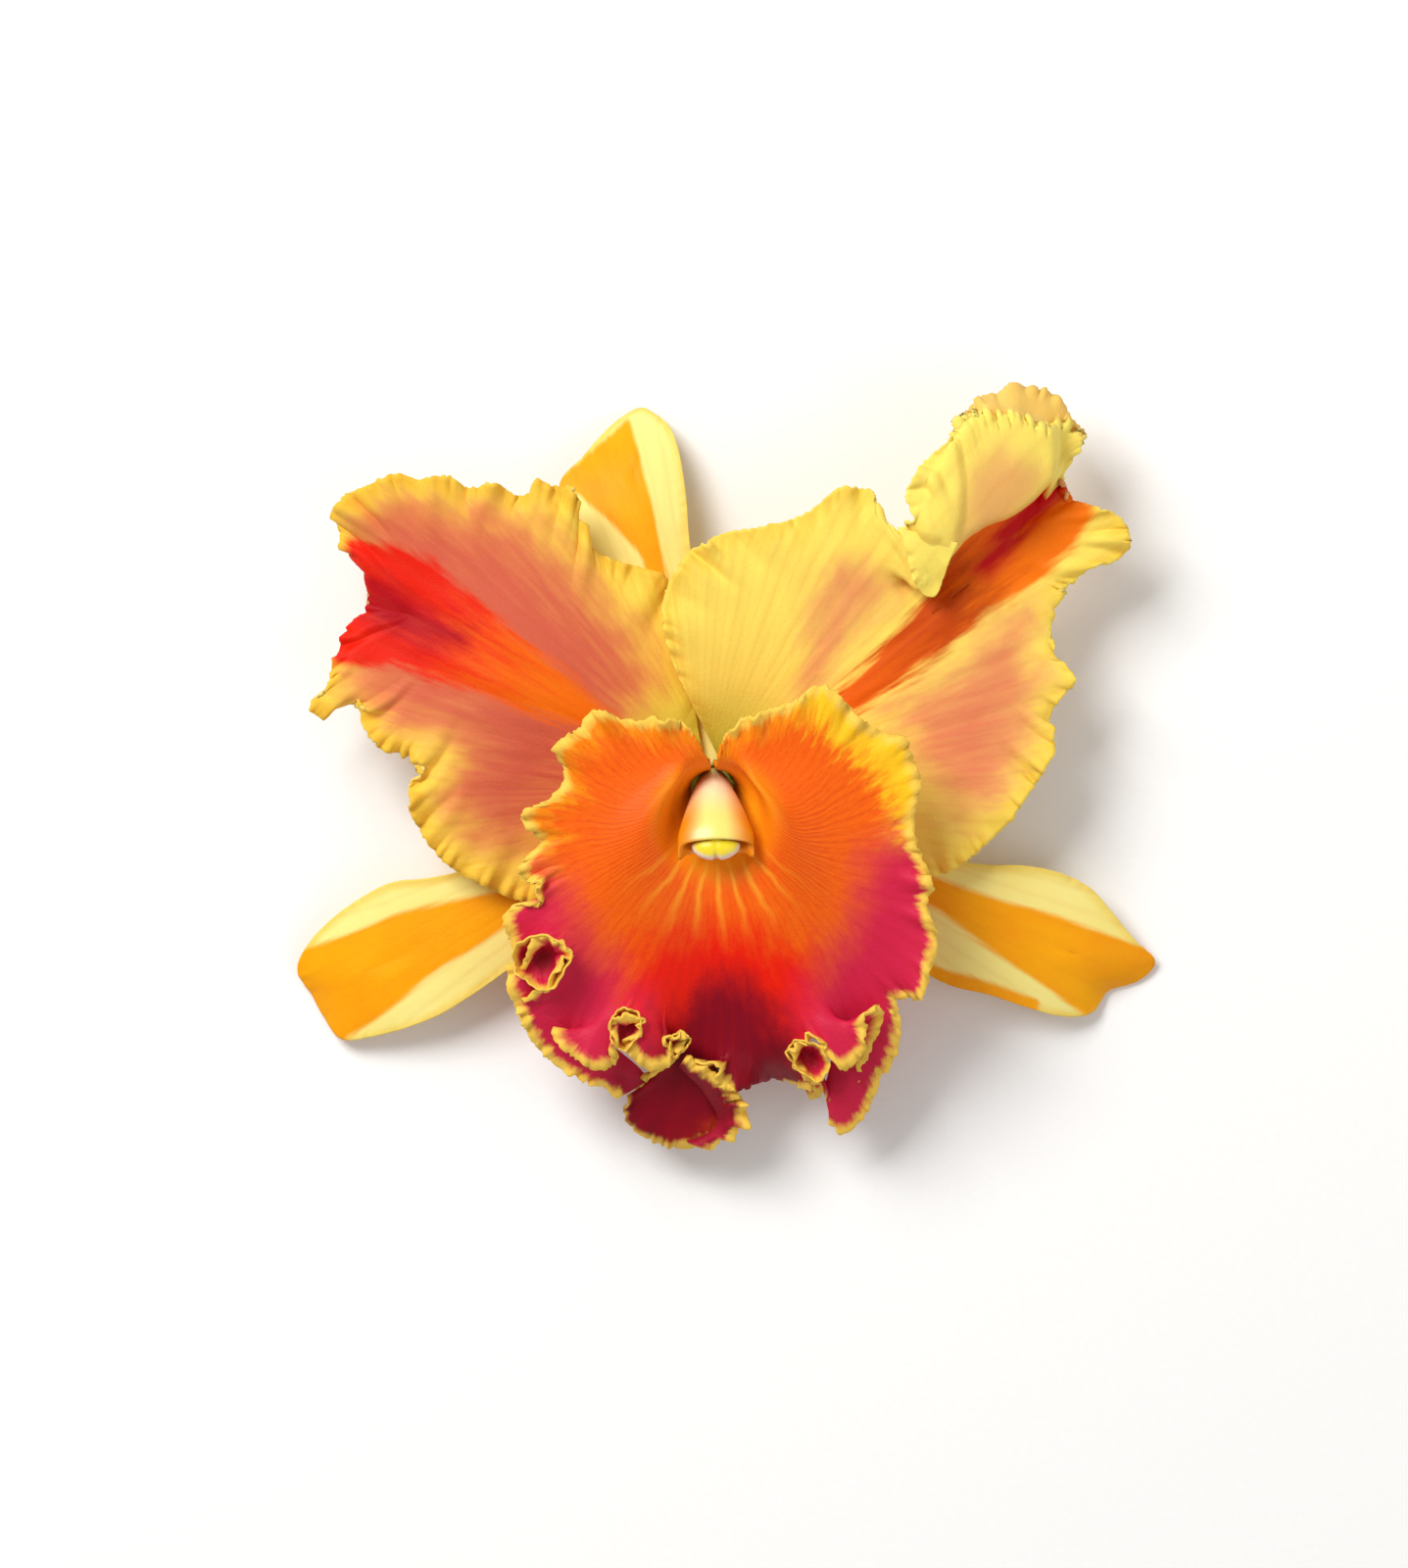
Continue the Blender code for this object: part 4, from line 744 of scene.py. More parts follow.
# %% The lip's free edge
# From the notch over the column down the left lobe, along the front, and up the right lobe
LIP_EDGE = [
    # The left lobe, from the notch over the column
    (-1.4, 4.6, 18), (-1.6, 7.4, 19.6), (-4.2, 10, 21), (-8.6, 11.8, 22.4), (-13.9, 10.7, 21),
    (-17.4, 12, 22.2), (-20.1, 13.8, 22.8), (-22, 10.9, 20.2), (-24.8, 8.2, 20.4),
    (-28.2, 7, 22.4), (-26, 4.2, 19.4), (-25.7, 0.8, 18.4), (-29, -3.1, 18.8), (-33.4, -5, 20.2),
    (-31.6, -7.9, 17.8), (-29.4, -10.6, 16), (-33.2, -13.2, 17), (-32.9, -16.7, 15.6),
    (-30.2, -17, 18), (-28.9, -18.7, 18.6), (-31, -20.2, 16.2), (-34.6, -20.6, 15.2),
    (-36.4, -24.4, 14.6), (-34, -28.1, 12.4), (-34.4, -31.4, 11),
    # The left ring curl
    (-33, -33.8, 11.4), (-32.4, -31, 14), (-31.8, -27.6, 16.6), (-29.8, -26, 18),
    (-26.4, -26.2, 18.6), (-24.3, -28.6, 18.6), (-25.2, -31.2, 17.8), (-27.4, -33.6, 16.6),
    (-28.9, -35.4, 14.8), (-31.4, -35.4, 12), (-33, -37.6, 9.8),
    # The left pleat
    (-32.6, -41.2, 7.2), (-30.4, -45, 5), (-27, -48.3, 3), (-22.6, -50.6, 2.2),
    (-19.4, -50.6, 2.8), (-21.8, -47.4, 5), (-26.2, -43.6, 8), (-28.9, -40.5, 10.8),
    (-27.8, -43.8, 11.4), (-25, -46.2, 10.8), (-22.2, -48.4, 9.6), (-18.6, -49.6, 9),
    (-16.4, -47.6, 10.2),
    # The teardrop curl
    (-16.9, -44.4, 11.6), (-17.7, -41.4, 12.8), (-16.6, -39, 13.6), (-14.5, -38, 14),
    (-12.4, -39.6, 13.6), (-12.2, -42.2, 12.8), (-14.2, -44.2, 11.2), (-15.2, -46, 9.8),
    (-13, -48, 9.2), (-10.4, -49.5, 8.2), (-7, -48.6, 8.8),
    # The small curl
    (-7.3, -45.4, 9.8), (-7, -43.2, 10.8), (-5, -42.3, 11.2), (-3.7, -43.6, 10.6),
    (-5.3, -45.9, 8.8), (-6.6, -48.6, 5.6),
    # The lower flap
    (-8.4, -50.9, 3), (-12, -51.2, 0.8), (-15.4, -52.6, -1), (-16.3, -55.8, -2.4),
    (-13.8, -59.8, -3.4), (-9.8, -62.4, -4), (-4.6, -63.4, -4), (0.2, -62, -3), (3.6, -59, -2),
    (4.6, -56.6, -0.8), (1.8, -54, 1.8), (-0.8, -51, 4.2), (-3.6, -48.2, 6.6),
    # The middle of the front
    (-3.2, -46.9, 8.2), (-0.6, -48.2, 8.6), (1.2, -50, 7.8), (1, -52.6, 6), (3.2, -53.2, 5.2),
    (6, -52.6, 4), (8.6, -51.4, -0.6), (12, -51.2, -3.8), (15.6, -52.4, -3),
    # The right ring curl
    (18.8, -54.2, 0), (18.6, -52.2, 3.6), (15.8, -50.8, 7), (14.4, -48.4, 9.2),
    (12.5, -46.4, 10.4), (13.6, -44.7, 11.4), (16.2, -43.7, 12), (18.8, -44.4, 11.8),
    (20.2, -47.2, 10.6), (22.2, -49.5, 9.4),
    # The right pleat
    (25, -47.8, 10.8), (26.5, -44.8, 12.2), (26.3, -41.2, 13.4), (27.4, -38.4, 14),
    (29.2, -37.6, 13), (29.4, -40.6, 10.4), (27.8, -45.4, 7.6), (24.6, -50.6, 4.4),
    (21.2, -54.8, 1.4), (20.2, -57.4, -0.6), (21.8, -60.4, -1.8), (25.2, -58.6, -0.8),
    (27.4, -54.8, 1.2), (28.2, -51, 3), (31.4, -47.2, 4.6), (31.9, -42.8, 6.4), (31, -38.8, 8.2),
    # The right lobe, back to the notch
    (32.8, -36.5, 10.4), (36, -37.8, 13.4), (36.6, -34.8, 14.8), (38.3, -30, 15.6),
    (38.4, -24.4, 16.2), (36.7, -19.6, 16.4), (38.4, -17.2, 18), (36.6, -13.6, 17),
    (35.2, -9.8, 18.2), (34.8, -4.4, 18.2), (36, -0.2, 20), (34.6, 4.4, 19.2), (32.6, 8.6, 20.6),
    (28.2, 9.4, 20.2), (25, 12, 22), (22, 15, 22.4), (19.4, 17.3, 24), (15.8, 15.6, 22.4),
    (12, 13.5, 22.4), (7.7, 12.4, 22.6), (3.8, 10.4, 21.4), (1.6, 7.2, 19.8), (1, 4.4, 18),
]
print("lip:", len(LIP_EDGE), "points on its edge")

# %% The lip's ribs and rings
LIP_THICKNESS, LIP_SPANS, TUBE_RINGS = 0.75, 142, 3
LIP_WAVE_REACH, AIM_REACH, LEAST_TURN = 0.11, 0.06, 0.35
LIMB_RINGS = (0.0, 0.2, 0.39, 0.56, 0.71, 0.83, 0.92, 1.0)
LIP_TUBE = [  # its rings' centre, half-width and half-height
    ((0.0, -0.1, 1.9), 4.0, 4.0), ((0.5, -3.4, 12.0), 4.9, 5.2), ((0.7, -4.4, 15.0), 7.8, 8.4),
]
MOUTH_TILT, LIP_AIM = 0.12, (0.5, -9.0, 0.0)
FLARE_FRONT, FLARE_SIDES, FLARE_POWER, NOTCH_SPREAD = 2.6, 5.4, 1.2, math.radians(50)


def lip_angles(edge):
    """The direction of each rib of the lip, always turning the same way."""
    aim = blurred(edge, AIM_REACH) - np.array(LIP_AIM)
    angles = np.unwrap(np.arctan2(aim[:, 1], aim[:, 0]))
    turns = np.diff(angles)
    turns = np.maximum(turns, LEAST_TURN * turns.mean())
    turns *= (angles[-1] - angles[0]) / turns.sum()
    return angles[0] + np.concatenate([[0.0], np.cumsum(turns)])


def lip_tube(angles):
    """The tube's rings, on a smooth curve from its foot through its waist to its mouth."""
    foot, waist, mouth = (np.column_stack([
        x + half_width * np.cos(angles), y + half_height * np.sin(angles),
        np.full(len(angles), z)]) for (x, y, z), half_width, half_height in LIP_TUBE)
    mouth[:, 2] += MOUTH_TILT * LIP_TUBE[-1][2] * np.sin(angles)
    shares = [k / TUBE_RINGS for k in range(TUBE_RINGS)]
    return mouth, [(1 - u) ** 2 * foot + 2 * u * (1 - u) * waist + u * u * mouth
                   for u in shares]


def lip_net(edge, angles):
    """The coarse sheet of the lip, as rings from the tube's foot to the free edge."""
    mouth, rings = lip_tube(angles)
    plain = blurred(edge, LIP_WAVE_REACH)
    off_notch = ease(np.minimum(angles - angles[0], angles[-1] - angles) / NOTCH_SPREAD)
    rise = (FLARE_FRONT + (FLARE_SIDES - FLARE_FRONT) * np.cos(angles) ** 2) * off_notch
    for w in LIMB_RINGS:
        waves = blurred(edge, LIP_WAVE_REACH * (1 - w) ** WAVE_FADE) - plain
        target = plain + waves * w ** 2
        target += (edge - target) * (1 - off_notch)[:, None]
        ring = mouth + (target - mouth) * w ** FLARE_POWER
        swell = rise * 27 / 4 * w * (1 - w) ** 2
        ring[:, 2] = mouth[:, 2] + (target[:, 2] - mouth[:, 2]) * w + swell
        rings.append(ring)
    rows = np.arange(len(rings) * len(edge)).reshape(len(rings), len(edge))
    return eased_apart(np.vstack(rings), rows.tolist(), LIP_THICKNESS)[rows]


lip_edge = smooth_line(LIP_EDGE, LIP_SPANS + 1, GATHER)
lip_turn = lip_angles(lip_edge)
coarse_lip = lip_net(lip_edge, lip_turn)
print("lip:", len(coarse_lip), "rings")

# %% The lip's markings
LIP_RED = [
    (-12, -27), (-5, -24.6), (1, -23.4), (9, -25), (17, -29), (22, -36), (24, -46), (22, -58),
    (-22, -66), (-20, -46), (-17, -36),
]
LIP_CRIMSON = [
    (-7, -38), (-2, -33), (2, -31.4), (7, -33.4), (12, -38), (17, -45), (21, -50), (16, -58),
    (-18, -68), (-20, -54), (-12, -46),
]
LIP_ROSE_LEFT = [
    (-40, -14), (-31, -14.6), (-25, -17), (-22, -24), (-17, -31), (-12, -38), (-8, -46),
    (-12, -52), (-24, -56), (-44, -44), (-44, -22),
]
LIP_ROSE_RIGHT = [
    (42, -4), (33, -7), (27, -12), (24.6, -20), (21, -28), (16, -35), (14, -42), (17, -49),
    (26, -62), (46, -46), (46, -10),
]
# Where the upper right edge is yellow much further in
LIP_YELLOW = [
    (10, 20), (13.5, 13.5), (19, 8.6), (24.6, 4), (29, -1), (32.4, -8), (44, -12), (44, 20),
]


def lip_marks(fine):
    rose = np.maximum(within(fine, LIP_ROSE_LEFT), within(fine, LIP_ROSE_RIGHT))
    return {"rim": rim_distance(fine), "red": within(fine, LIP_RED), "rose": rose,
            "crimson": within(fine, LIP_CRIMSON), "yellow": within(fine, LIP_YELLOW)}


print("lip markings: red, crimson, rose and yellow")

# %% The lip's sheet
LIP_RINGS, LIP_COLUMNS, LIP_UV_CENTRE = 46, 1040, (0.7, -6.0)
# The golden edge is this much thinner beside the notch, in the middle of the front and left
# on the flap, and fades so softly there
GOLD_FADE, FLAP_FADE, NOTCH_FADE_RUN, FADE_SOFT = 3.0, 1.3, 9.0, 2.0
FRONT_FADE_X, FRONT_FADE_Y, FLAP_FADE_X, FLAP_FADE_Y = (3.0, 13.0), -46.0, (-17.5, -5.0), -51.0
FLAP_FADE_SOFT = (1.5, 3.0)
LIP_FRILLS = ((0.9, 9.0, 0.0, 1.7, CALM_ENDS, 8.5), (1.0, 3.4, 0.7, 3.3, CALM_ENDS, FRILL_LENGTH))

lip_fine = fine_net(coarse_lip, 2 * coarse_lip[0] - coarse_lip[1], LIP_RINGS, LIP_COLUMNS)
lip_fine = frilled(lip_fine, *LIP_FRILLS)
lip_values = lip_marks(lip_fine)
from_ends = edge_run(lip_fine)
from_ends = np.minimum(from_ends, from_ends[-1] - from_ends)
x, y = lip_fine[..., 0], lip_fine[..., 1]
front_middle = (ease((x - FRONT_FADE_X[0]) / FADE_SOFT) * ease((FRONT_FADE_X[1] - x) / FADE_SOFT)
                * (y < FRONT_FADE_Y))
flap_left = (ease((FLAP_FADE_X[1] - x) / FLAP_FADE_SOFT[1])
             * ease((x - FLAP_FADE_X[0]) / FLAP_FADE_SOFT[0])
             * ease((FLAP_FADE_Y - y) / FADE_SOFT))
lip_values["rim"] += (GOLD_FADE * ease(1 - from_ends / NOTCH_FADE_RUN) + GOLD_FADE * front_middle
                      + FLAP_FADE * flap_left)
lip_turn = np.interp(np.linspace(0, LIP_SPANS, LIP_COLUMNS), np.arange(LIP_SPANS + 1), lip_turn)
lip_out = np.linalg.norm(lip_fine[..., :2] - np.array(LIP_UV_CENTRE), axis=2) / MM_PER_CM
lip_uv = np.stack([np.broadcast_to(lip_turn, lip_out.shape), lip_out], axis=2)
lip = tissue_sheet("ruffled_lip", lip_fine, lip_uv, lip_values, LIP_THICKNESS)
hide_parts("lip")

# %% [markdown]
# ## Curls of the frill
# In four places the frill closes to a ring: from above one looks into a small pocket with a
# golden rim. Each pocket is a sheet of its own, set against the edge that it belongs to.

# %% Curls
POCKETS = {  # how deep each goes, and its rim
    "left_ring_curl": (4.2, [
        (-34.1, -29.9, 14.6), (-33.2, -27.1, 16.6), (-30.1, -25.9, 18), (-26.1, -26.7, 18.5),
        (-24.2, -28.9, 18.3), (-24.9, -31.6, 17.4), (-27, -34.5, 16.2), (-28.6, -35.4, 15.3),
        (-30.8, -34.4, 14.7), (-32.6, -33.2, 14.3), (-33.8, -31.8, 14.3)]),
    "teardrop_curl": (4, [
        (-17.5, -41.2, 12.8), (-16.7, -39.2, 13.5), (-14.8, -38.3, 13.8), (-12.9, -39.1, 13.5),
        (-12.1, -41.5, 12.6), (-13.2, -43.8, 11.6), (-14.8, -45.6, 10.8), (-16.7, -44.9, 11.2),
        (-17.4, -43.2, 12)]),
    "small_curl": (3.5, [
        (-7.3, -45.2, 9.8), (-7, -43.4, 10.6), (-5.5, -42.5, 11), (-3.9, -43.4, 10.6),
        (-4.1, -44.8, 9.9), (-5.5, -46.2, 8.9), (-6.6, -46.8, 8.8)]),
    "right_ring_curl": (4.2, [
        (12.7, -45.8, 10.4), (14.3, -44, 11.4), (17.4, -44.4, 11.9), (19.4, -46.4, 11.2),
        (19.9, -49, 10.2), (18.2, -51, 9.2), (15.8, -49.8, 8.8), (13.9, -48, 9.4)]),
}
RIM_COUNT, POCKET_RINGS, POCKET_THICKNESS = 181, 22, 0.55
POCKET_UV_CM, WALL_STEEPNESS, FLOOR_STEEPNESS = 3, 0.42, 1.5
# Waves of a rim's height and of its wall: height, waves all round, and turn for each seed
RIM_WAVES, WALL_WAVES = ((0.35, 5, 1), (0.15, 11, 2)), ((0.045, 6, 1), (0.02, 15, 1))
# A pocket is rose inside, with crimson painted shade that deepens toward its bottom, and has no
# yellow
POCKET_ROSE, POCKET_DEPTH_SHADE, POCKET_YELLOW = 6.0, (1.6, -7.0), -20.0



def ripples(waves, seed):
    return sum(height * np.sin(count * around + shift * seed) for height, count, shift in waves)


frill_pieces = []
around = np.linspace(0, 2 * math.pi, RIM_COUNT)
around[-1] = 0.0
share = np.linspace(0, 1, POCKET_RINGS)[:, None]
for seed, (name, (depth, rim_points)) in enumerate(POCKETS.items()):
    loop = closed_line(rim_points, RIM_COUNT)
    loop[:, 2] += ripples(RIM_WAVES, seed)
    middle = loop.mean(axis=0)
    reach = share ** WALL_STEEPNESS * (1 + share * ripples(WALL_WAVES, seed))
    fine = middle + (loop - middle) * reach[..., None]
    sunk = depth * (1 - share ** FLOOR_STEEPNESS)
    fine[..., 2] = loop[:, 2] * share + middle[2] * (1 - share) - sunk
    values = lip_marks(fine)
    rim = values["rim"]
    # The crimson value grows with depth in the pocket: painted shade at its bottom
    values.update(rose=np.full(rim.shape, POCKET_ROSE),
                  crimson=POCKET_DEPTH_SHADE[0] * rim + POCKET_DEPTH_SHADE[1],
                  yellow=np.full(rim.shape, POCKET_YELLOW))
    uv = np.stack([np.broadcast_to(around, rim.shape), POCKET_UV_CM + rim / MM_PER_CM], axis=2)
    frill_pieces.append(tissue_sheet(name, fine, uv, values, POCKET_THICKNESS))

# %% [markdown]
# ## Folds of the frill
# The lower flap's right edge is curled into a ruffle, and low on both sides a fold of the lip
# shows again from under its front pleat. Each is a sheet from a hidden line to a free edge.

# %% The flap's ruffle and the under-folds
UNDER_FOLDS = {  # how high each is frilled, its free edge, and the line where it goes under
    "flap_ruffle": (
        1.7,
        [(-4.4, -46.6, 7.4), (-1.6, -48, 7.2), (1.6, -50.2, 6), (4.6, -53.4, 3.6),
         (6.4, -56.4, 1.4), (5.2, -59.4, -0.4), (2.4, -61.8, -1.8), (-1, -63.2, -2.6)],
        [(-5.6, -48.4, 5.6), (-4.5, -49.6, 5.2), (-2, -52.1, 3.6), (0.2, -55.5, 1.4), (1, -58, 0),
         (-0.4, -60.2, -1.4), (-2.9, -61.4, -2.4), (-4.4, -61.8, -3)],
    ),
    "left_under_fold": (
        0.8,
        [(-35.4, -31, 11.4), (-35.2, -34.5, 10.4), (-34.2, -38, 8.8), (-32.6, -41.6, 7.2),
         (-30.4, -45.2, 5.4), (-27, -48.6, 4), (-22.8, -51, 3), (-18.8, -52.6, 2),
         (-16.4, -54.2, 0.8)],
        [(-30.5, -30.5, 10.4), (-29, -33.5, 9.4), (-27, -36.5, 8), (-24.6, -39, 6.8),
         (-22, -41.4, 5.8), (-19, -43.6, 4.8), (-16, -46, 3.6), (-13, -48.6, 2.2),
         (-11, -51, 0.8)],
    ),
    "right_under_fold": (
        0.8,
        [(31, -36, 9), (32.4, -40, 7.5), (32.4, -44, 6), (31.2, -48, 4.4), (28.8, -51.4, 3),
         (27.6, -55, 1.4), (25.4, -58.6, -0.4), (22, -60.6, -1.6), (20.4, -57.8, -0.6),
         (20.6, -54.8, 1.2), (18.6, -53, 2), (14.6, -52.4, 2)],
        [(26.4, -35, 8.4), (25, -38, 7.4), (23.4, -41, 6.4), (21.8, -43.6, 5.2), (20.8, -46.2, 4),
         (20.4, -48.4, 3.2), (20, -50.4, 2.4), (19.6, -51.4, 2), (19.2, -51, 2.2),
         (18.6, -49.8, 2.8), (17.6, -48.6, 3.4), (15.4, -47.6, 4)],
    ),
}
FOLD_COUNT, FOLD_RINGS, FOLD_THICKNESS, FOLD_ARCH = 260, 26, 0.6, 1.2
LEAST_ROSE = 5.0

arch = FOLD_ARCH * np.sin(math.pi * np.linspace(0, 1, FOLD_RINGS))[:, None]
for seed, (name, (height, free, root)) in enumerate(UNDER_FOLDS.items()):
    fine = ribbed(smooth_line(root, FOLD_COUNT), smooth_line(free, FOLD_COUNT), FOLD_RINGS)
    fine[..., 2] += arch
    fine = frilled(fine, (height, 4.0, 0.4, 7.0 + seed, 1.0, FRILL_LENGTH))
    values = lip_marks(fine)
    values["rose"] = np.maximum(values["rose"], LEAST_ROSE)
    away = fine[..., :2] - np.array(LIP_UV_CENTRE)
    uv = np.stack([np.arctan2(away[..., 1], away[..., 0]),
                   np.linalg.norm(away, axis=2) / MM_PER_CM], axis=2)
    frill_pieces.append(tissue_sheet(name, fine, uv, values, FOLD_THICKNESS))

# %% [markdown]
# ## Column, anther cap and pollinia
# Stamen and style are grown into one waxy column, with a wing tip on each side of its end.
# The anther cap sits in a hollow there like a small helmet, over four pollinia. Each form is
# wrapped: a grid closed to a tube along its side seam, and to a point at both ends.

# %% Wrapped forms
TURN_COUNT = 97
turn = np.linspace(0, 2 * math.pi, TURN_COUNT)
turn[-1] = 0.0
TURN_OUT = (bpy.ops.mesh.normals_make_consistent, {"inside": False})


def axis_frames(axis, count):
    """Points on an axis in an upright plane, with their directions ahead, across and up."""
    line, side = smooth_line(axis, count), np.array([1.0, 0.0, 0.0])
    frames = []
    for point, forward in zip(line, unit(np.gradient(line, axis=0))):
        across = unit(side - forward * side.dot(forward))
        frames.append((point, forward, across, np.cross(forward, across)))
    return frames


def ring_in(axes, wide, high, ahead=0.0):
    """A ring whose points lie so far across, up and ahead of a point on an axis."""
    point, forward, across, up = axes
    return (point + np.outer(wide, across) + np.outer(high, up)
            + np.multiply.outer(ahead, forward))


def wrapped(name, rings, values):
    """A closed form through rings whose last point is their first, with a pole at each end."""
    rings = np.array(rings)
    poles = [np.broadcast_to(ring.mean(axis=0), ring.shape) for ring in (rings[0], rings[-1])]
    points = np.stack([poles[0], *rings, poles[1]])
    across, along = np.meshgrid(*(np.linspace(0, 1, points.shape[k]) for k in (1, 0)))
    fields = {key: np.broadcast_to(value, rings.shape[:2]) for key, value in values.items()}
    fields = {key: np.vstack([field[:1], field, field[-1:]]) for key, field in fields.items()}
    made = grid_piece(name, points, np.stack([across, along], axis=2), fields)
    edited(MERGE, TURN_OUT)
    print(name, len(made.data.polygons), "faces")
    return made


# %% Column
COLUMN_AXIS = [
    (0, 0, -0.6), (0.1, -0.7, 7), (0.3, -3.4, 14), (0.5, -7.6, 18.8), (0.6, -10.6, 20.4),
]
COLUMN_SECTIONS = [  # share of its length, half-width, back, front
    (0, 2.6, 2.6, 2.6), (0.08, 2.8, 2.9, 2.7), (0.3, 3, 3.1, 2.8), (0.5, 3.7, 3.4, 3),
    (0.66, 4.7, 3.6, 3.2), (0.82, 5.8, 3.6, 3.3), (0.92, 6.5, 3.5, 3.3), (1, 6.5, 3.3, 3.3),
]
COLUMN_COUNT, KEEL_POWER = 60, 0.2
WING_TIP, WING_STARTS, WING_POWER, WING_WIDTH = 2.0, 0.8, 1.5, 0.4
WING_PLACES = (math.pi + 0.25, 2 * math.pi - 0.25)
HOLLOW_WALL, HOLLOW_DEPTH, HOLLOW_LIP, HOLLOW_TAPER, HOLLOW_WING = 1.0, 2.2, 0.2, 0.4, 0.6
RIM_AHEAD, RIM_BACK = 0.12, 0.32


def column_section(axes, half_width, back, front, advance, wing):
    """One ring of the column: a back with a blunt keel, a flatter front and two wing tips."""
    at_back = np.sin(turn) > 0
    high = np.where(at_back, back, front) * np.sin(turn)
    keel = np.where(at_back, np.abs(np.cos(turn)) ** KEEL_POWER, 1.0)
    tips = sum(np.exp(-((turn - place) / WING_WIDTH) ** 2) for place in WING_PLACES)
    return ring_in(axes, half_width * keel * np.cos(turn), high, advance + wing * tips)


column_frames = axis_frames(COLUMN_AXIS, COLUMN_COUNT)
end = column_frames[-1]
places, *sizes = (np.array(part) for part in zip(*COLUMN_SECTIONS))
column_rings = []
for k, axes in enumerate(column_frames):
    u = k / (COLUMN_COUNT - 1)
    wing = WING_TIP * max(0.0, (u - WING_STARTS) / (1 - WING_STARTS)) ** WING_POWER
    column_rings.append(
        column_section(axes, *(np.interp(u, places, size) for size in sizes), 0.0, wing))
# Over the rim of its end, and down into the hollow
end_sizes = np.array([size[-1] for size in sizes])
for step in (0.35, 0.7, 1.0):
    column_rings.append(column_section(
        end, *(end_sizes - HOLLOW_WALL * step), RIM_AHEAD - RIM_BACK * step,
        WING_TIP + (HOLLOW_WING - WING_TIP) * step))
for step in (0.25, 0.5, 0.75, 1.0):
    column_rings.append(column_section(
        end, *(end_sizes - HOLLOW_WALL - HOLLOW_TAPER * step),
        -HOLLOW_LIP + (HOLLOW_LIP - HOLLOW_DEPTH) * step, HOLLOW_WING * (1 - step)))
ahead = np.minimum(np.arange(len(column_rings)) / (COLUMN_COUNT - 1), 1.0)[:, None]
column = wrapped("waxy_column", column_rings, {"ahead": ahead, "side": np.abs(np.cos(turn))})
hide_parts("column")

# %% Anther cap and pollinia
CAP_HALF_WIDTH, CAP_HALF_HEIGHT, CAP_LENGTH, CAP_WALL, CAP_SEAT = 3.9, 2.2, 2.7, 0.6, 0.2
CAP_LOBES, INNER_RINGS, OUTER_RINGS = (0.06, 2), 14, 26
CLEFT_WIDTH, CLEFT_DEPTH = 0.5, 0.45
POLLINIA_HALF_WIDTH, POLLINIA_HALF_HEIGHT, POLLINIA_HALF_LENGTH = 1.9, 0.9, 0.55
POLLINIA_SEAT, POLLINIA_LOBES, POLLINIA_RINGS = 1.3, (-0.12, 4), 21
NEAR_POLE = 1.5  # the angle of a rounded form's last ring, in radians


def lobed_ring(half_width, half_height, ahead, shrink, lobes, count):
    """A ring across the column's end, with so many lobes."""
    size = shrink * (1 + lobes * np.cos(count * turn))
    wide, high = half_width * size * np.cos(turn), half_height * size * np.sin(turn)
    return ring_in(end, wide, high, ahead)


cap_rings = np.array([
    lobed_ring(CAP_HALF_WIDTH - wall, CAP_HALF_HEIGHT - wall,
               (CAP_LENGTH - wall) * math.sin(level) - CAP_SEAT, math.cos(level), *CAP_LOBES)
    for wall, levels in ((CAP_WALL, np.linspace(NEAR_POLE, 0.0, INNER_RINGS)),
                         (0.0, np.linspace(0.0, NEAR_POLE, OUTER_RINGS))) for level in levels])
# A cleft down the middle parts the cap into its two cells
across, above = ((cap_rings - end[0]) @ end[k] for k in (2, 3))
outer = np.arange(len(cap_rings))[:, None] >= INNER_RINGS
cleft = np.exp(-(across / CLEFT_WIDTH) ** 2) * outer
cap_rings -= (CLEFT_DEPTH * cleft)[..., None] * end[1]
cap = wrapped("anther_cap_skin", cap_rings, {"groove": cleft, "above": above})
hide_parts("anther_cap")

pollinia = wrapped("four_pollinia", [
    lobed_ring(POLLINIA_HALF_WIDTH, POLLINIA_HALF_HEIGHT,
               POLLINIA_HALF_LENGTH * (1 + math.sin(level)) - POLLINIA_SEAT, math.cos(level),
               *POLLINIA_LOBES)
    for level in np.linspace(-NEAR_POLE, NEAR_POLE, POLLINIA_RINGS)], {})
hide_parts("pollinarium")

# %% [markdown]
# ## Ovary and pedicel
# Behind the flower the ribbed ovary runs into the pedicel, which bends to lie along the
# surface and is cut square. Its underside is pressed a little flat where it rests.

# %% Ovary and pedicel
STEM_AXIS = [
    (0, 0, -1.3), (0, 0, -3), (0, -3.2, -7.4), (0, -9, -9.8), (0, -18, -10.4), (0, -30, -10.4),
    (0, -46, -10.4),
]
STEM_RADII = [(0, 4.4), (0.05, 4.1), (0.15, 3.6), (0.4, 3.1), (0.7, 2.7), (1, 2.6)]
GROOVE_DEPTH, GROOVES, STEM_COUNT = 0.05, 6, 110
CUT_RINGS = ((0.85, 0.35), (0.6, 0.8), (0.3, 1.0))  # their size, and how much pith shows there

stem_rings = []
for k, axes in enumerate(axis_frames(STEM_AXIS, STEM_COUNT)):
    size = np.interp(k / (STEM_COUNT - 1), *zip(*STEM_RADII))
    size = size * (1 + GROOVE_DEPTH * np.cos(GROOVES * turn))
    ring = ring_in(axes, size * np.cos(turn), size * np.sin(turn))
    ring[:, 2] = STEM_AXIS[0][2] if k == 0 else np.maximum(ring[:, 2], TABLE)
    stem_rings.append(ring)
cut, middle = stem_rings[-1], stem_rings[-1].mean(axis=0)
stem_rings += [middle + (cut - middle) * share for share, _ in CUT_RINGS]
pith = np.array([0.0] * STEM_COUNT + [shown for _, shown in CUT_RINGS])[:, None]
ahead = np.minimum(np.arange(len(stem_rings)) / (STEM_COUNT - 1), 1.0)[:, None]
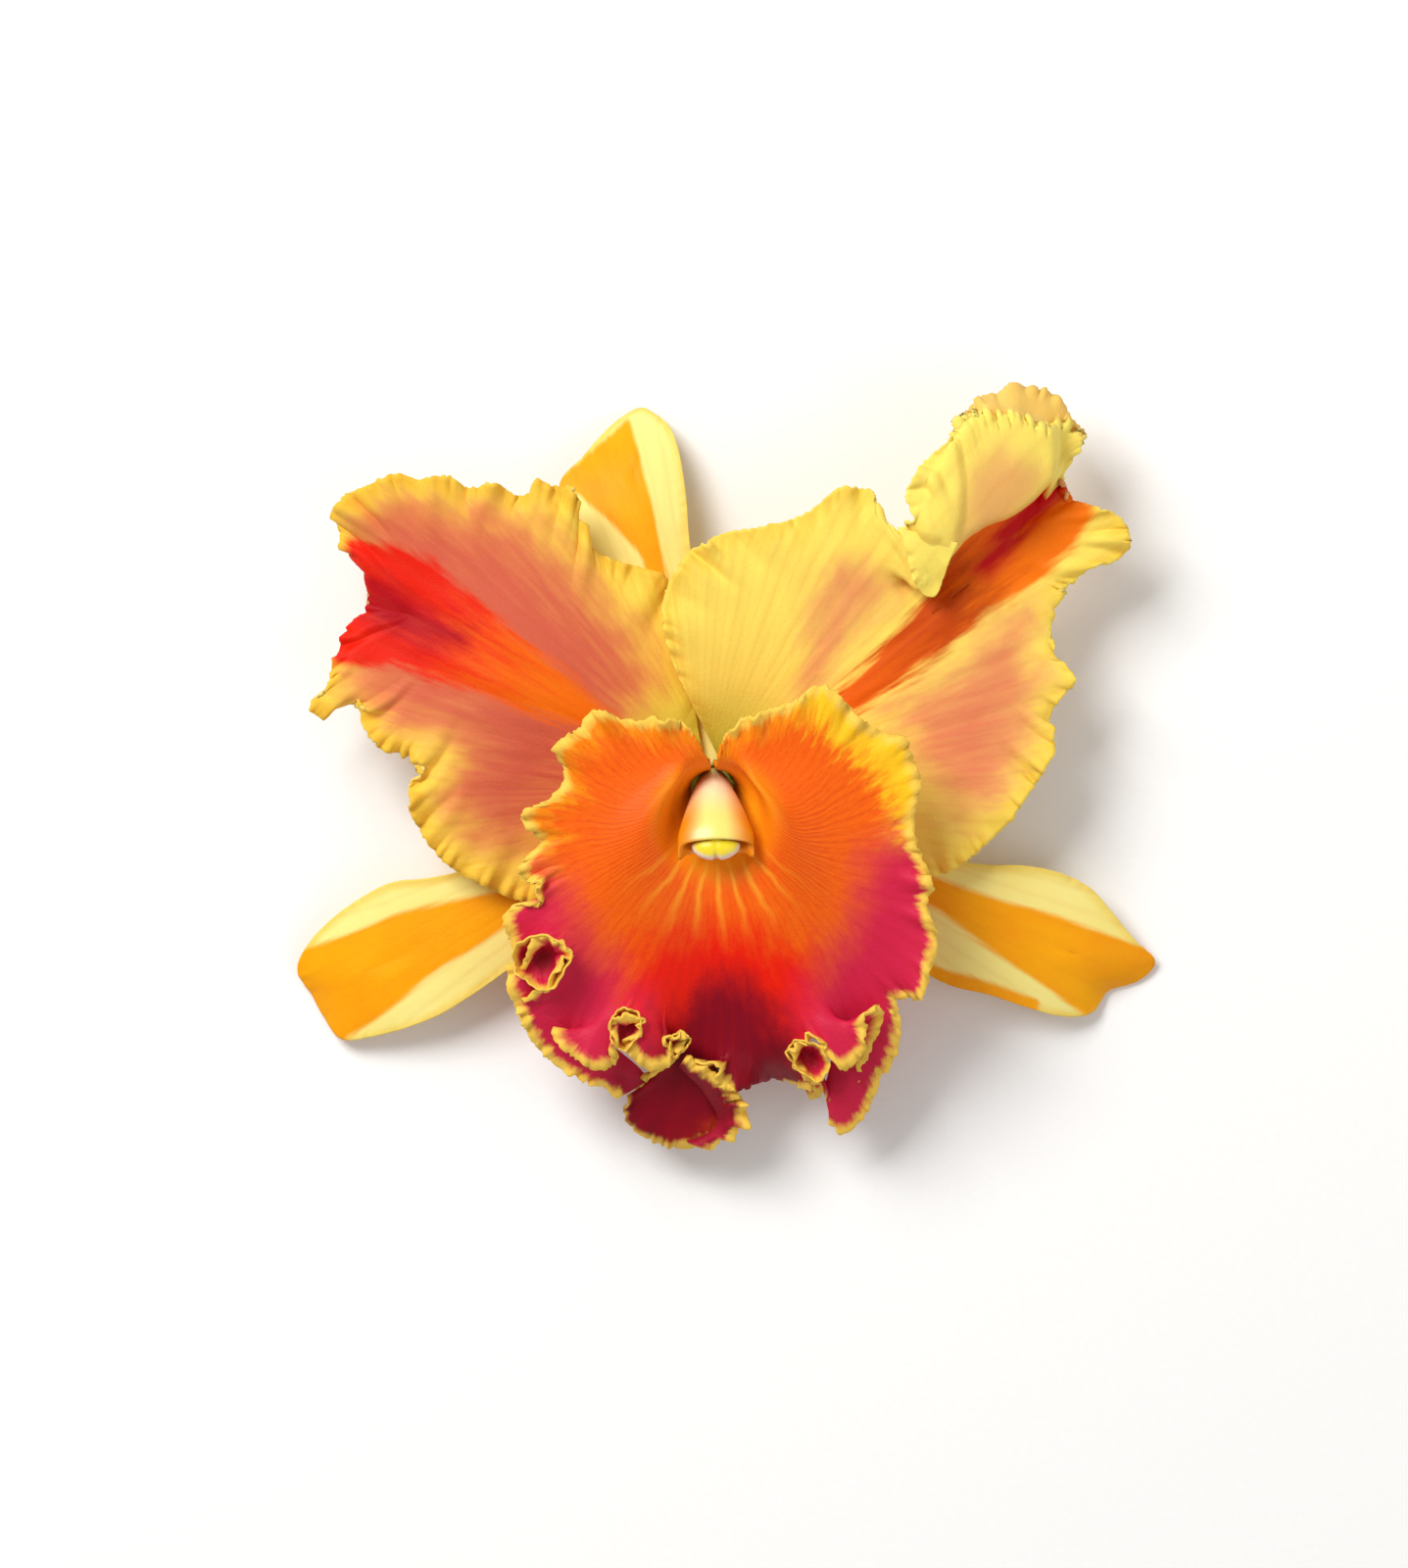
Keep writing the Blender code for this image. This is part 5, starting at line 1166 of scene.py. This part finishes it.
stem = wrapped("ribbed_stem", stem_rings, {"cut": pith, "ahead": ahead})
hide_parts("ovary_and_pedicel")

# %% [markdown]
# ## Colours and nodes
# Colours are noted as sRGB hex values, as a colour picker shows them, and one function turns
# them linear for the shader. Another lays them over each other, each through its own mask.

# %% Colours and nodes
SMOOTH = {"interpolation_type": "SMOOTHSTEP"}


def linear(hex_colour):
    channels = [int(hex_colour[k:k + 2], 16) / 255 for k in (1, 3, 5)]
    return (*(c / 12.92 if c <= 0.04045 else ((c + 0.055) / 1.055) ** 2.4 for c in channels), 1.0)


def add(tree, kind, inputs=(), **settings):
    """Adds a node with its settings, and values or links on its inputs, in order or named."""
    node = tree.nodes.new("ShaderNode" + kind)
    for key, value in settings.items():
        setattr(node, key, value)
    for socket, value in inputs.items() if isinstance(inputs, dict) else enumerate(inputs):
        if isinstance(value, bpy.types.Node):
            value = value.outputs[0]
        if isinstance(value, bpy.types.NodeSocket):
            tree.links.new(value, node.inputs[socket])
        else:
            node.inputs[socket].default_value = value
    return node


def overlap(tree, *masks):
    """Where several masks hold at once. A number among them weakens the whole."""
    whole = masks[0]
    for mask in masks[1:]:
        whole = add(tree, "Math", (whole, mask), operation="MULTIPLY")
    return whole


def painted(tree, base, *layers):
    """Colours laid over a base in turn, each through its mask, and some at part strength."""
    for mask, colour, *strength in layers:
        base, colour = (linear(c) if isinstance(c, str) else c for c in (base, colour))
        base = add(tree, "Mix", {0: overlap(tree, mask, *strength), 6: base, 7: colour},
                   data_type="RGBA").outputs[2]
    return base


# %% [markdown]
# Markings are masks: a piece's named value says how deep each point lies in an outline, and
# streaks that follow the veins make its border ragged, as pigment in cells does.

# %% Markings, veins and clouds
def streaks_along(tree, across, along, offset):
    """Uneven streaks that follow the veins, from -0.5 to 0.5."""
    placed = add(tree, "Mapping", {"Vector": add(tree, "UVMap", uv_map="UVMap"),
                                   "Location": (offset, 0.0, 0.0), "Scale": (across, along, 1.0)})
    noise = add(tree, "TexNoise", {"Vector": placed, "Scale": 1.0, "Detail": 3.0,
                                   "Roughness": 0.6}, noise_dimensions="2D")
    return add(tree, "Math", (noise, 0.5), operation="SUBTRACT")


def marking(tree, value, streak, feather, low, high):
    """0 to 1 as a piece's value, in mm, goes from low to high, with a streaked border."""
    depth = add(tree, "Attribute", attribute_name=value).outputs["Fac"]
    ragged = add(tree, "Math", (streak, feather, depth), operation="MULTIPLY_ADD")
    return add(tree, "MapRange", (ragged, low, high), **SMOOTH)


def veins(tree, count_per_radian, sharpness, drift):
    """Thin lines that fan out from the claw, 0 between them and 1 on them."""
    uv = add(tree, "UVMap", uv_map="UVMap")
    noise = add(tree, "TexNoise", {"Vector": uv, "Scale": 1.3}, noise_dimensions="2D")
    turned = add(tree, "Math", (add(tree, "SeparateXYZ", [uv]), 2 * math.pi * count_per_radian,
                                overlap(tree, noise, drift)), operation="MULTIPLY_ADD")
    wave = add(tree, "Math", [turned], operation="SINE")
    up = add(tree, "Math", (wave, 0.5, 0.5), operation="MULTIPLY_ADD")
    return add(tree, "Math", (up, sharpness), operation="POWER")


def mottled(tree, scale):
    """Soft clouds in the piece's own space, from 0 to 1."""
    place = add(tree, "TexCoord")
    return add(tree, "TexNoise", {"Vector": place.outputs["Object"], "Scale": scale})


# %% [markdown]
# ## Living tissue
# Petal tissue is a stack of clear cells with pigment in the outer ones. Light enters, scatters
# and comes back warmer, and the cells' domed tops break the gloss into fine sparkle. Real
# cells are 0.05 mm across, and these are larger, so that they show.

# %% Living tissue
TISSUES = {  # roughness, gloss, cell in mm, sunken veins, relief and its depth in mm, glow, reach
    "petal": (0.55, 0.14, 0.45, 0.25, 0.3, 0.12, 0.2, 1.4),
    "sepal": (0.5, 0.14, 0.5, 1.0, 0.25, 0.1, 0.2, 1.6),
    "lip": (0.5, 0.16, 0.4, 0.35, 0.3, 0.13, 0.12, 1.2),
    "column": (0.32, 0.5, 0.5, 0.4, 0.15, 0.08, 0.3, 1.8),
    "anther_cap": (0.36, 0.5, 0.4, 0.4, 0.15, 0.06, 0.3, 1.5),
    "stem": (0.42, 0.45, 0.35, 0.8, 0.3, 0.1, 0.12, 1.0),
}
RED_GOES_FURTHEST = (1.0, 0.45, 0.2)


def started(name, roughness, gloss):
    """A new material, its node tree and its shader."""
    made = bpy.data.materials.new(name)
    made.use_nodes = True
    shader = made.node_tree.nodes["Principled BSDF"]
    shader.inputs["Roughness"].default_value = roughness
    shader.inputs["Specular IOR Level"].default_value = gloss
    return made, made.node_tree, shader


def dress(piece, material):
    piece.data.materials.clear()
    piece.data.materials.append(material)
    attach(piece, "root")


def tissue(name, slot, pieces, paint, *palette):
    """Tissue for these pieces: satin, with sunken veins and domed cells, lit from inside."""
    roughness, gloss, cell_mm, sink, strength, depth_mm, glow, reach_mm = TISSUES[slot]
    made, tree, shader = started(name, roughness, gloss)
    colour, vein = paint(tree, *palette)
    tree.links.new(colour, shader.inputs["Base Color"])
    place = add(tree, "TexCoord")
    cells = add(tree, "TexVoronoi", {"Vector": place.outputs["Object"], "Scale": 1000 / cell_mm})
    height = add(tree, "Math", (vein, -sink, cells), operation="MULTIPLY_ADD")
    relief = add(tree, "Bump", {"Strength": strength, "Distance": depth_mm * MM,
                                "Height": height})
    tree.links.new(relief.outputs[0], shader.inputs["Normal"])
    shader.inputs["Subsurface Weight"].default_value = glow
    shader.inputs["Subsurface Radius"].default_value = RED_GOES_FURTHEST
    shader.inputs["Subsurface Scale"].default_value = reach_mm * MM
    for piece in pieces:
        dress(piece, made)
    print(name, "on", len(pieces), "pieces")


# %% [markdown]
# ## Petal tissue
# Petals are thin and soft, with a satin face. Yellow lies below, pink is washed over it in
# streaks that follow the veins, and the stripe is dense pigment: orange at the claw, then red,
# then crimson at its heart. Where the fold shades the stripe, its bright orange is partly
# painted light. The tall fold shows the pale yellow of the petal's margin, with painted shade
# by its lobes.

# %% Petal tissue
PETAL_COLOURS = {  # yellow, edge, pink, deep pink, and the stripe's claw, far part and heart
    "flushed": ("#f8d650", "#eebc3a", "#d66c4a", "#c84642", "#f07204", "#e01c02", "#ae0212"),
    "folded": ("#fbe064", "#f4d050", "#e28a5c", "#d96c52", "#e46204", "#b63a02", "#cc0810"),
}
CORE_BORDER = {"flushed": (-1.6, 4.4), "folded": (-2.6, 2.0)}


def fold_skin_and_shade(tree, fine, broad):
    """The fold's pale yellow, a peach blush, and painted shade by its front lobe and behind its
    crest.
    """
    blush = marking(tree, "blush", broad, 6.0, -5.0, 3.0)
    # Painted shade: a darker line along the outline of the lobe in front, and a darker lower lobe
    # behind the crest
    lobe_outline_shade = marking(tree, "lobe", fine, 0.5, 1.1, 0.2)
    behind = marking(tree, "behind", fine, 1.5, 0.3, 1.0)
    return painted(tree, "#f8de66", (blush, "#e3a262", 0.8), (lobe_outline_shade, "#dca23a", 0.12),
                   (behind, "#eab65c", 0.7))


def petal_paint(tree, kind):
    """Yellow, a pink flush in streaks, the dense stripe, faint veins, and a paler back."""
    yellow, edge_yellow, pink, deep_pink, claw_stripe, far_stripe, heart = PETAL_COLOURS[kind]
    fine, broad = streaks_along(tree, 34.0, 0.9, 0.0), streaks_along(tree, 9.0, 0.8, 7.0)
    edge = marking(tree, "rim", fine, -9.0, 0.2, 5.5)
    flush = overlap(tree, marking(tree, "flush", broad, 10.0, -5.0, 7.0), edge)
    deep = overlap(tree, marking(tree, "flush", fine, 16.0, 2.0, 14.0), edge)
    layers = [(edge, yellow, 0.85), (flush, pink, 0.9), (deep, deep_pink, 0.6)]
    # How far out along the petal, in cm
    out = add(tree, "SeparateXYZ", [add(tree, "UVMap", uv_map="UVMap")]).outputs[1]
    ragged_out = add(tree, "Math", (fine, 2.4, out), operation="MULTIPLY_ADD")
    far = add(tree, "MapRange", (ragged_out, 2.2, 5.6), **SMOOTH)
    pigment = painted(tree, claw_stripe, (far, far_stripe))
    stripe = marking(tree, "stripe", fine, 4.6, -1.1, 1.5)
    if kind == "folded":
        # Toward the fold the stripe turns bright orange: partly its own colour, partly painted
        # light that offsets the fold's shadow on it
        tip = add(tree, "MapRange", (ragged_out, 4.4, 6.4), **SMOOTH)
        pigment = painted(tree, pigment, (tip, "#fa7a02"))
        layers.insert(1, (marking(tree, "peach", broad, 9.0, -4.0, 7.0), pink, 0.85))
        fold = add(tree, "Attribute", attribute_name="fold").outputs["Fac"]
        layers.append((fold, fold_skin_and_shade(tree, fine, broad)))
        stripe = overlap(tree, stripe, add(tree, "Math", (1.0, fold), operation="SUBTRACT"))
    core = marking(tree, "core", fine, 6.0, *CORE_BORDER[kind])
    vein = veins(tree, 19.0, 4.0, 3.0)
    claw = add(tree, "MapRange", (out, 1.7, 0.4))
    back = add(tree, "Attribute", attribute_name="back").outputs["Fac"]
    layers += [(stripe, painted(tree, pigment, (core, heart))), (vein, "#c2501f", 0.07),
               (claw, "#bcc23c"), (back, "#f3dc92", 0.45)]
    return painted(tree, edge_yellow, *layers), vein


tissue("petal tissue, flushed", "petal", [petal_left], petal_paint, "flushed")
tissue("petal tissue, folded", "petal", [petal_right, tongue], petal_paint, "folded")

# %% [markdown]
# ## Sepal tissue
# Sepals are thicker and waxier than petals, so they are smoother and shine a little more. The
# amber stripe has a crisp, slightly feathered edge on pale yellow.

# %% Sepal tissue
def sepal_paint(tree):
    """Pale yellow that lightens inward, and the amber stripe with faint veins."""
    streak, broad = streaks_along(tree, 40.0, 0.7, 3.0), streaks_along(tree, 6.0, 0.6, 9.0)
    stripe = marking(tree, "stripe", streak, 1.4, -0.9, 0.3)
    shade = add(tree, "MapRange", (broad, -0.2, 0.2))
    inward = marking(tree, "rim", streak, 1.5, 0.2, 2.2)
    vein = veins(tree, 20.0, 4.0, 2.0)
    amber = painted(tree, "#fcab00", (shade, "#f79c00"))
    pale = painted(tree, "#f3d263", (inward, "#fbe98e"), (shade, "#f8de74", 0.4))
    return painted(tree, pale, (stripe, amber), (vein, "#d98f12", 0.08)), vein


tissue("sepal tissue, waxy", "sepal", sepals, sepal_paint)

# %% [markdown]
# ## Lip tissue
# The lip is the densest in pigment and velvety: vivid orange at the sides and in the throat,
# red, then dark crimson down its middle, rose on both sides of that, and a thin golden edge
# all round the frill. Deep in the throat its golden orange is partly painted light over the
# tube's shade. Pale veins ray out below the column, and fine red ones at its sides.

# %% Lip tissue
def lip_paint(tree):
    """Orange, red, rose and crimson, with veins and rays, inside the golden edge."""
    fine, broad = streaks_along(tree, 26.0, 2.2, 1.0), streaks_along(tree, 7.0, 1.4, 5.0)
    gold = marking(tree, "rim", fine, 3.2, 2.7, 0.8)
    orange_edge = marking(tree, "rim", fine, 8.0, 8.0, 1.5)
    red = marking(tree, "red", broad, 10.0, -5.0, 6.0)
    crimson = marking(tree, "crimson", broad, 8.0, -3.8, 6.0)
    rose = marking(tree, "rose", broad, 6.0, -6.0, 6.0)
    wide_gold = marking(tree, "yellow", fine, 12.0, -3.0, 4.0)
    speck = add(tree, "MapRange", (streaks_along(tree, 60.0, 5.0, 8.0), -0.04, 0.2))
    direction, out, _ = add(tree, "SeparateXYZ", [add(tree, "UVMap", uv_map="UVMap")]).outputs
    up = add(tree, "Math", [direction], operation="SINE")
    # Below the column, in the throat, deep in it, and four limits of the veins at the sides
    below, throat, throat_gold_and_light, *at_sides = (add(tree, "MapRange", limit, **SMOOTH) for limit in (
        (up, -0.35, -0.85), (out, 2.3, 1.0), (out, 1.3, 0.6),
        (up, -0.9, -0.5), (up, 0.6, 0.1), (out, 0.8, 1.1), (out, 2.7, 1.5)))
    rays = overlap(tree, veins(tree, 4.2, 5.0, 4.5), below, throat)
    side_veins = overlap(tree, veins(tree, 22.0, 3.0, 9.0), *at_sides)
    vein = veins(tree, 15.0, 3.0, 3.0)
    # Deep in the throat the golden orange is partly its own colour, partly painted light that
    # lifts the tube's shade
    return painted(
        tree, "#f56606", (orange_edge, "#fba010", 0.7), (speck, "#e63e00", 0.4),
        (side_veins, "#a02004", 0.35), (red, "#ee1a00"), (rose, "#d02046"),
        (crimson, "#86001a"), (vein, "#b01406", 0.12), (throat_gold_and_light, "#ffae18", 0.8),
        (rays, "#fda92c", 0.8), (wide_gold, "#fcc41c"), (gold, "#f6c850")), vein


tissue("lip tissue, velvety", "lip", [lip, *frill_pieces], lip_paint)

# %% [markdown]
# ## Column and cap tissue
# Column and cap are firm and waxy, so they shine more. The column is ivory, with an amber
# blush at its sides, a yellow glow toward the cap, and green at its foot. The cap is pinkish
# white, amber in its cleft, and yellow above.

# %% Column and cap tissue
def column_paint(tree):
    ahead, side = (add(tree, "Attribute", attribute_name=value).outputs["Fac"]
                   for value in ("ahead", "side"))
    mottle = mottled(tree, 420.0)
    blush, tip, foot = (add(tree, "MapRange", limit, **SMOOTH)
                        for limit in ((side, 0.3, 0.92), (ahead, 0.5, 0.9), (ahead, 0.5, 0.1)))
    return painted(tree, "#fbf0cf", (mottle, "#fbe3b0", 0.25), (tip, "#fde044", 0.75),
                   (blush, "#f6bf90", 0.45), (overlap(tree, tip, blush), "#f08c08"),
                   (foot, "#c6d25c")), mottle


def cap_paint(tree):
    groove, above = (add(tree, "Attribute", attribute_name=value).outputs["Fac"]
                     for value in ("groove", "above"))
    mottle = mottled(tree, 600.0)
    upper = add(tree, "MapRange", (above, 0.1, 1.3), **SMOOTH)
    return painted(tree, "#fbe0da", (mottle, "#f6cdbb", 0.3), (groove, "#e8a83c", 0.5),
                   (upper, "#fcdc22")), mottle


tissue("column tissue, waxy ivory", "column", [column], column_paint)
tissue("anther cap tissue, waxy", "anther_cap", [cap], cap_paint)

# %% [markdown]
# ## Stem skin, pollen and the surface
# The pedicel is fresh green skin with paler fibres, yellower behind the flower, and its cut
# end shows pale pith. The pollinia are yellow wax, and the surface is matt and nearly white.

# %% Stem skin, pollen and the surface
FINE_CLOUDS = 900.0


def stem_paint(tree):
    ahead, cut = (add(tree, "Attribute", attribute_name=value).outputs["Fac"]
                  for value in ("ahead", "cut"))
    placed = add(tree, "Mapping", {"Vector": add(tree, "UVMap", uv_map="UVMap"),
                                   "Scale": (30.0, 5.0, 1.0)})
    fibre = add(tree, "TexNoise", {"Vector": placed, "Scale": 1.0, "Detail": 3.0},
                noise_dimensions="2D")
    top = add(tree, "MapRange", (ahead, 0.16, 0.0), **SMOOTH)
    return painted(tree, "#7f9a38", (fibre, "#9db653"), (top, "#d5d272", 0.7),
                   (cut, "#dfe2ab")), fibre


def clouded(name, roughness, gloss, base, cloud):
    """A surface whose colour drifts a little between two shades."""
    made, tree, shader = started(name, roughness, gloss)
    colour = painted(tree, base, (mottled(tree, FINE_CLOUDS), cloud))
    tree.links.new(colour, shader.inputs["Base Color"])
    return made


dress(pollinia, clouded("pollen wax", 0.3, 0.5, "#f1bf22", "#e2a414"))
tissue("pedicel skin, fresh green", "stem", [stem], stem_paint)
floor.data.materials.append(clouded("pale matt surface", 0.9, 0.2, "#f7f6f4", "#fbfaf8"))
print("materials:", sorted(m.name for m in bpy.data.materials if m.users))
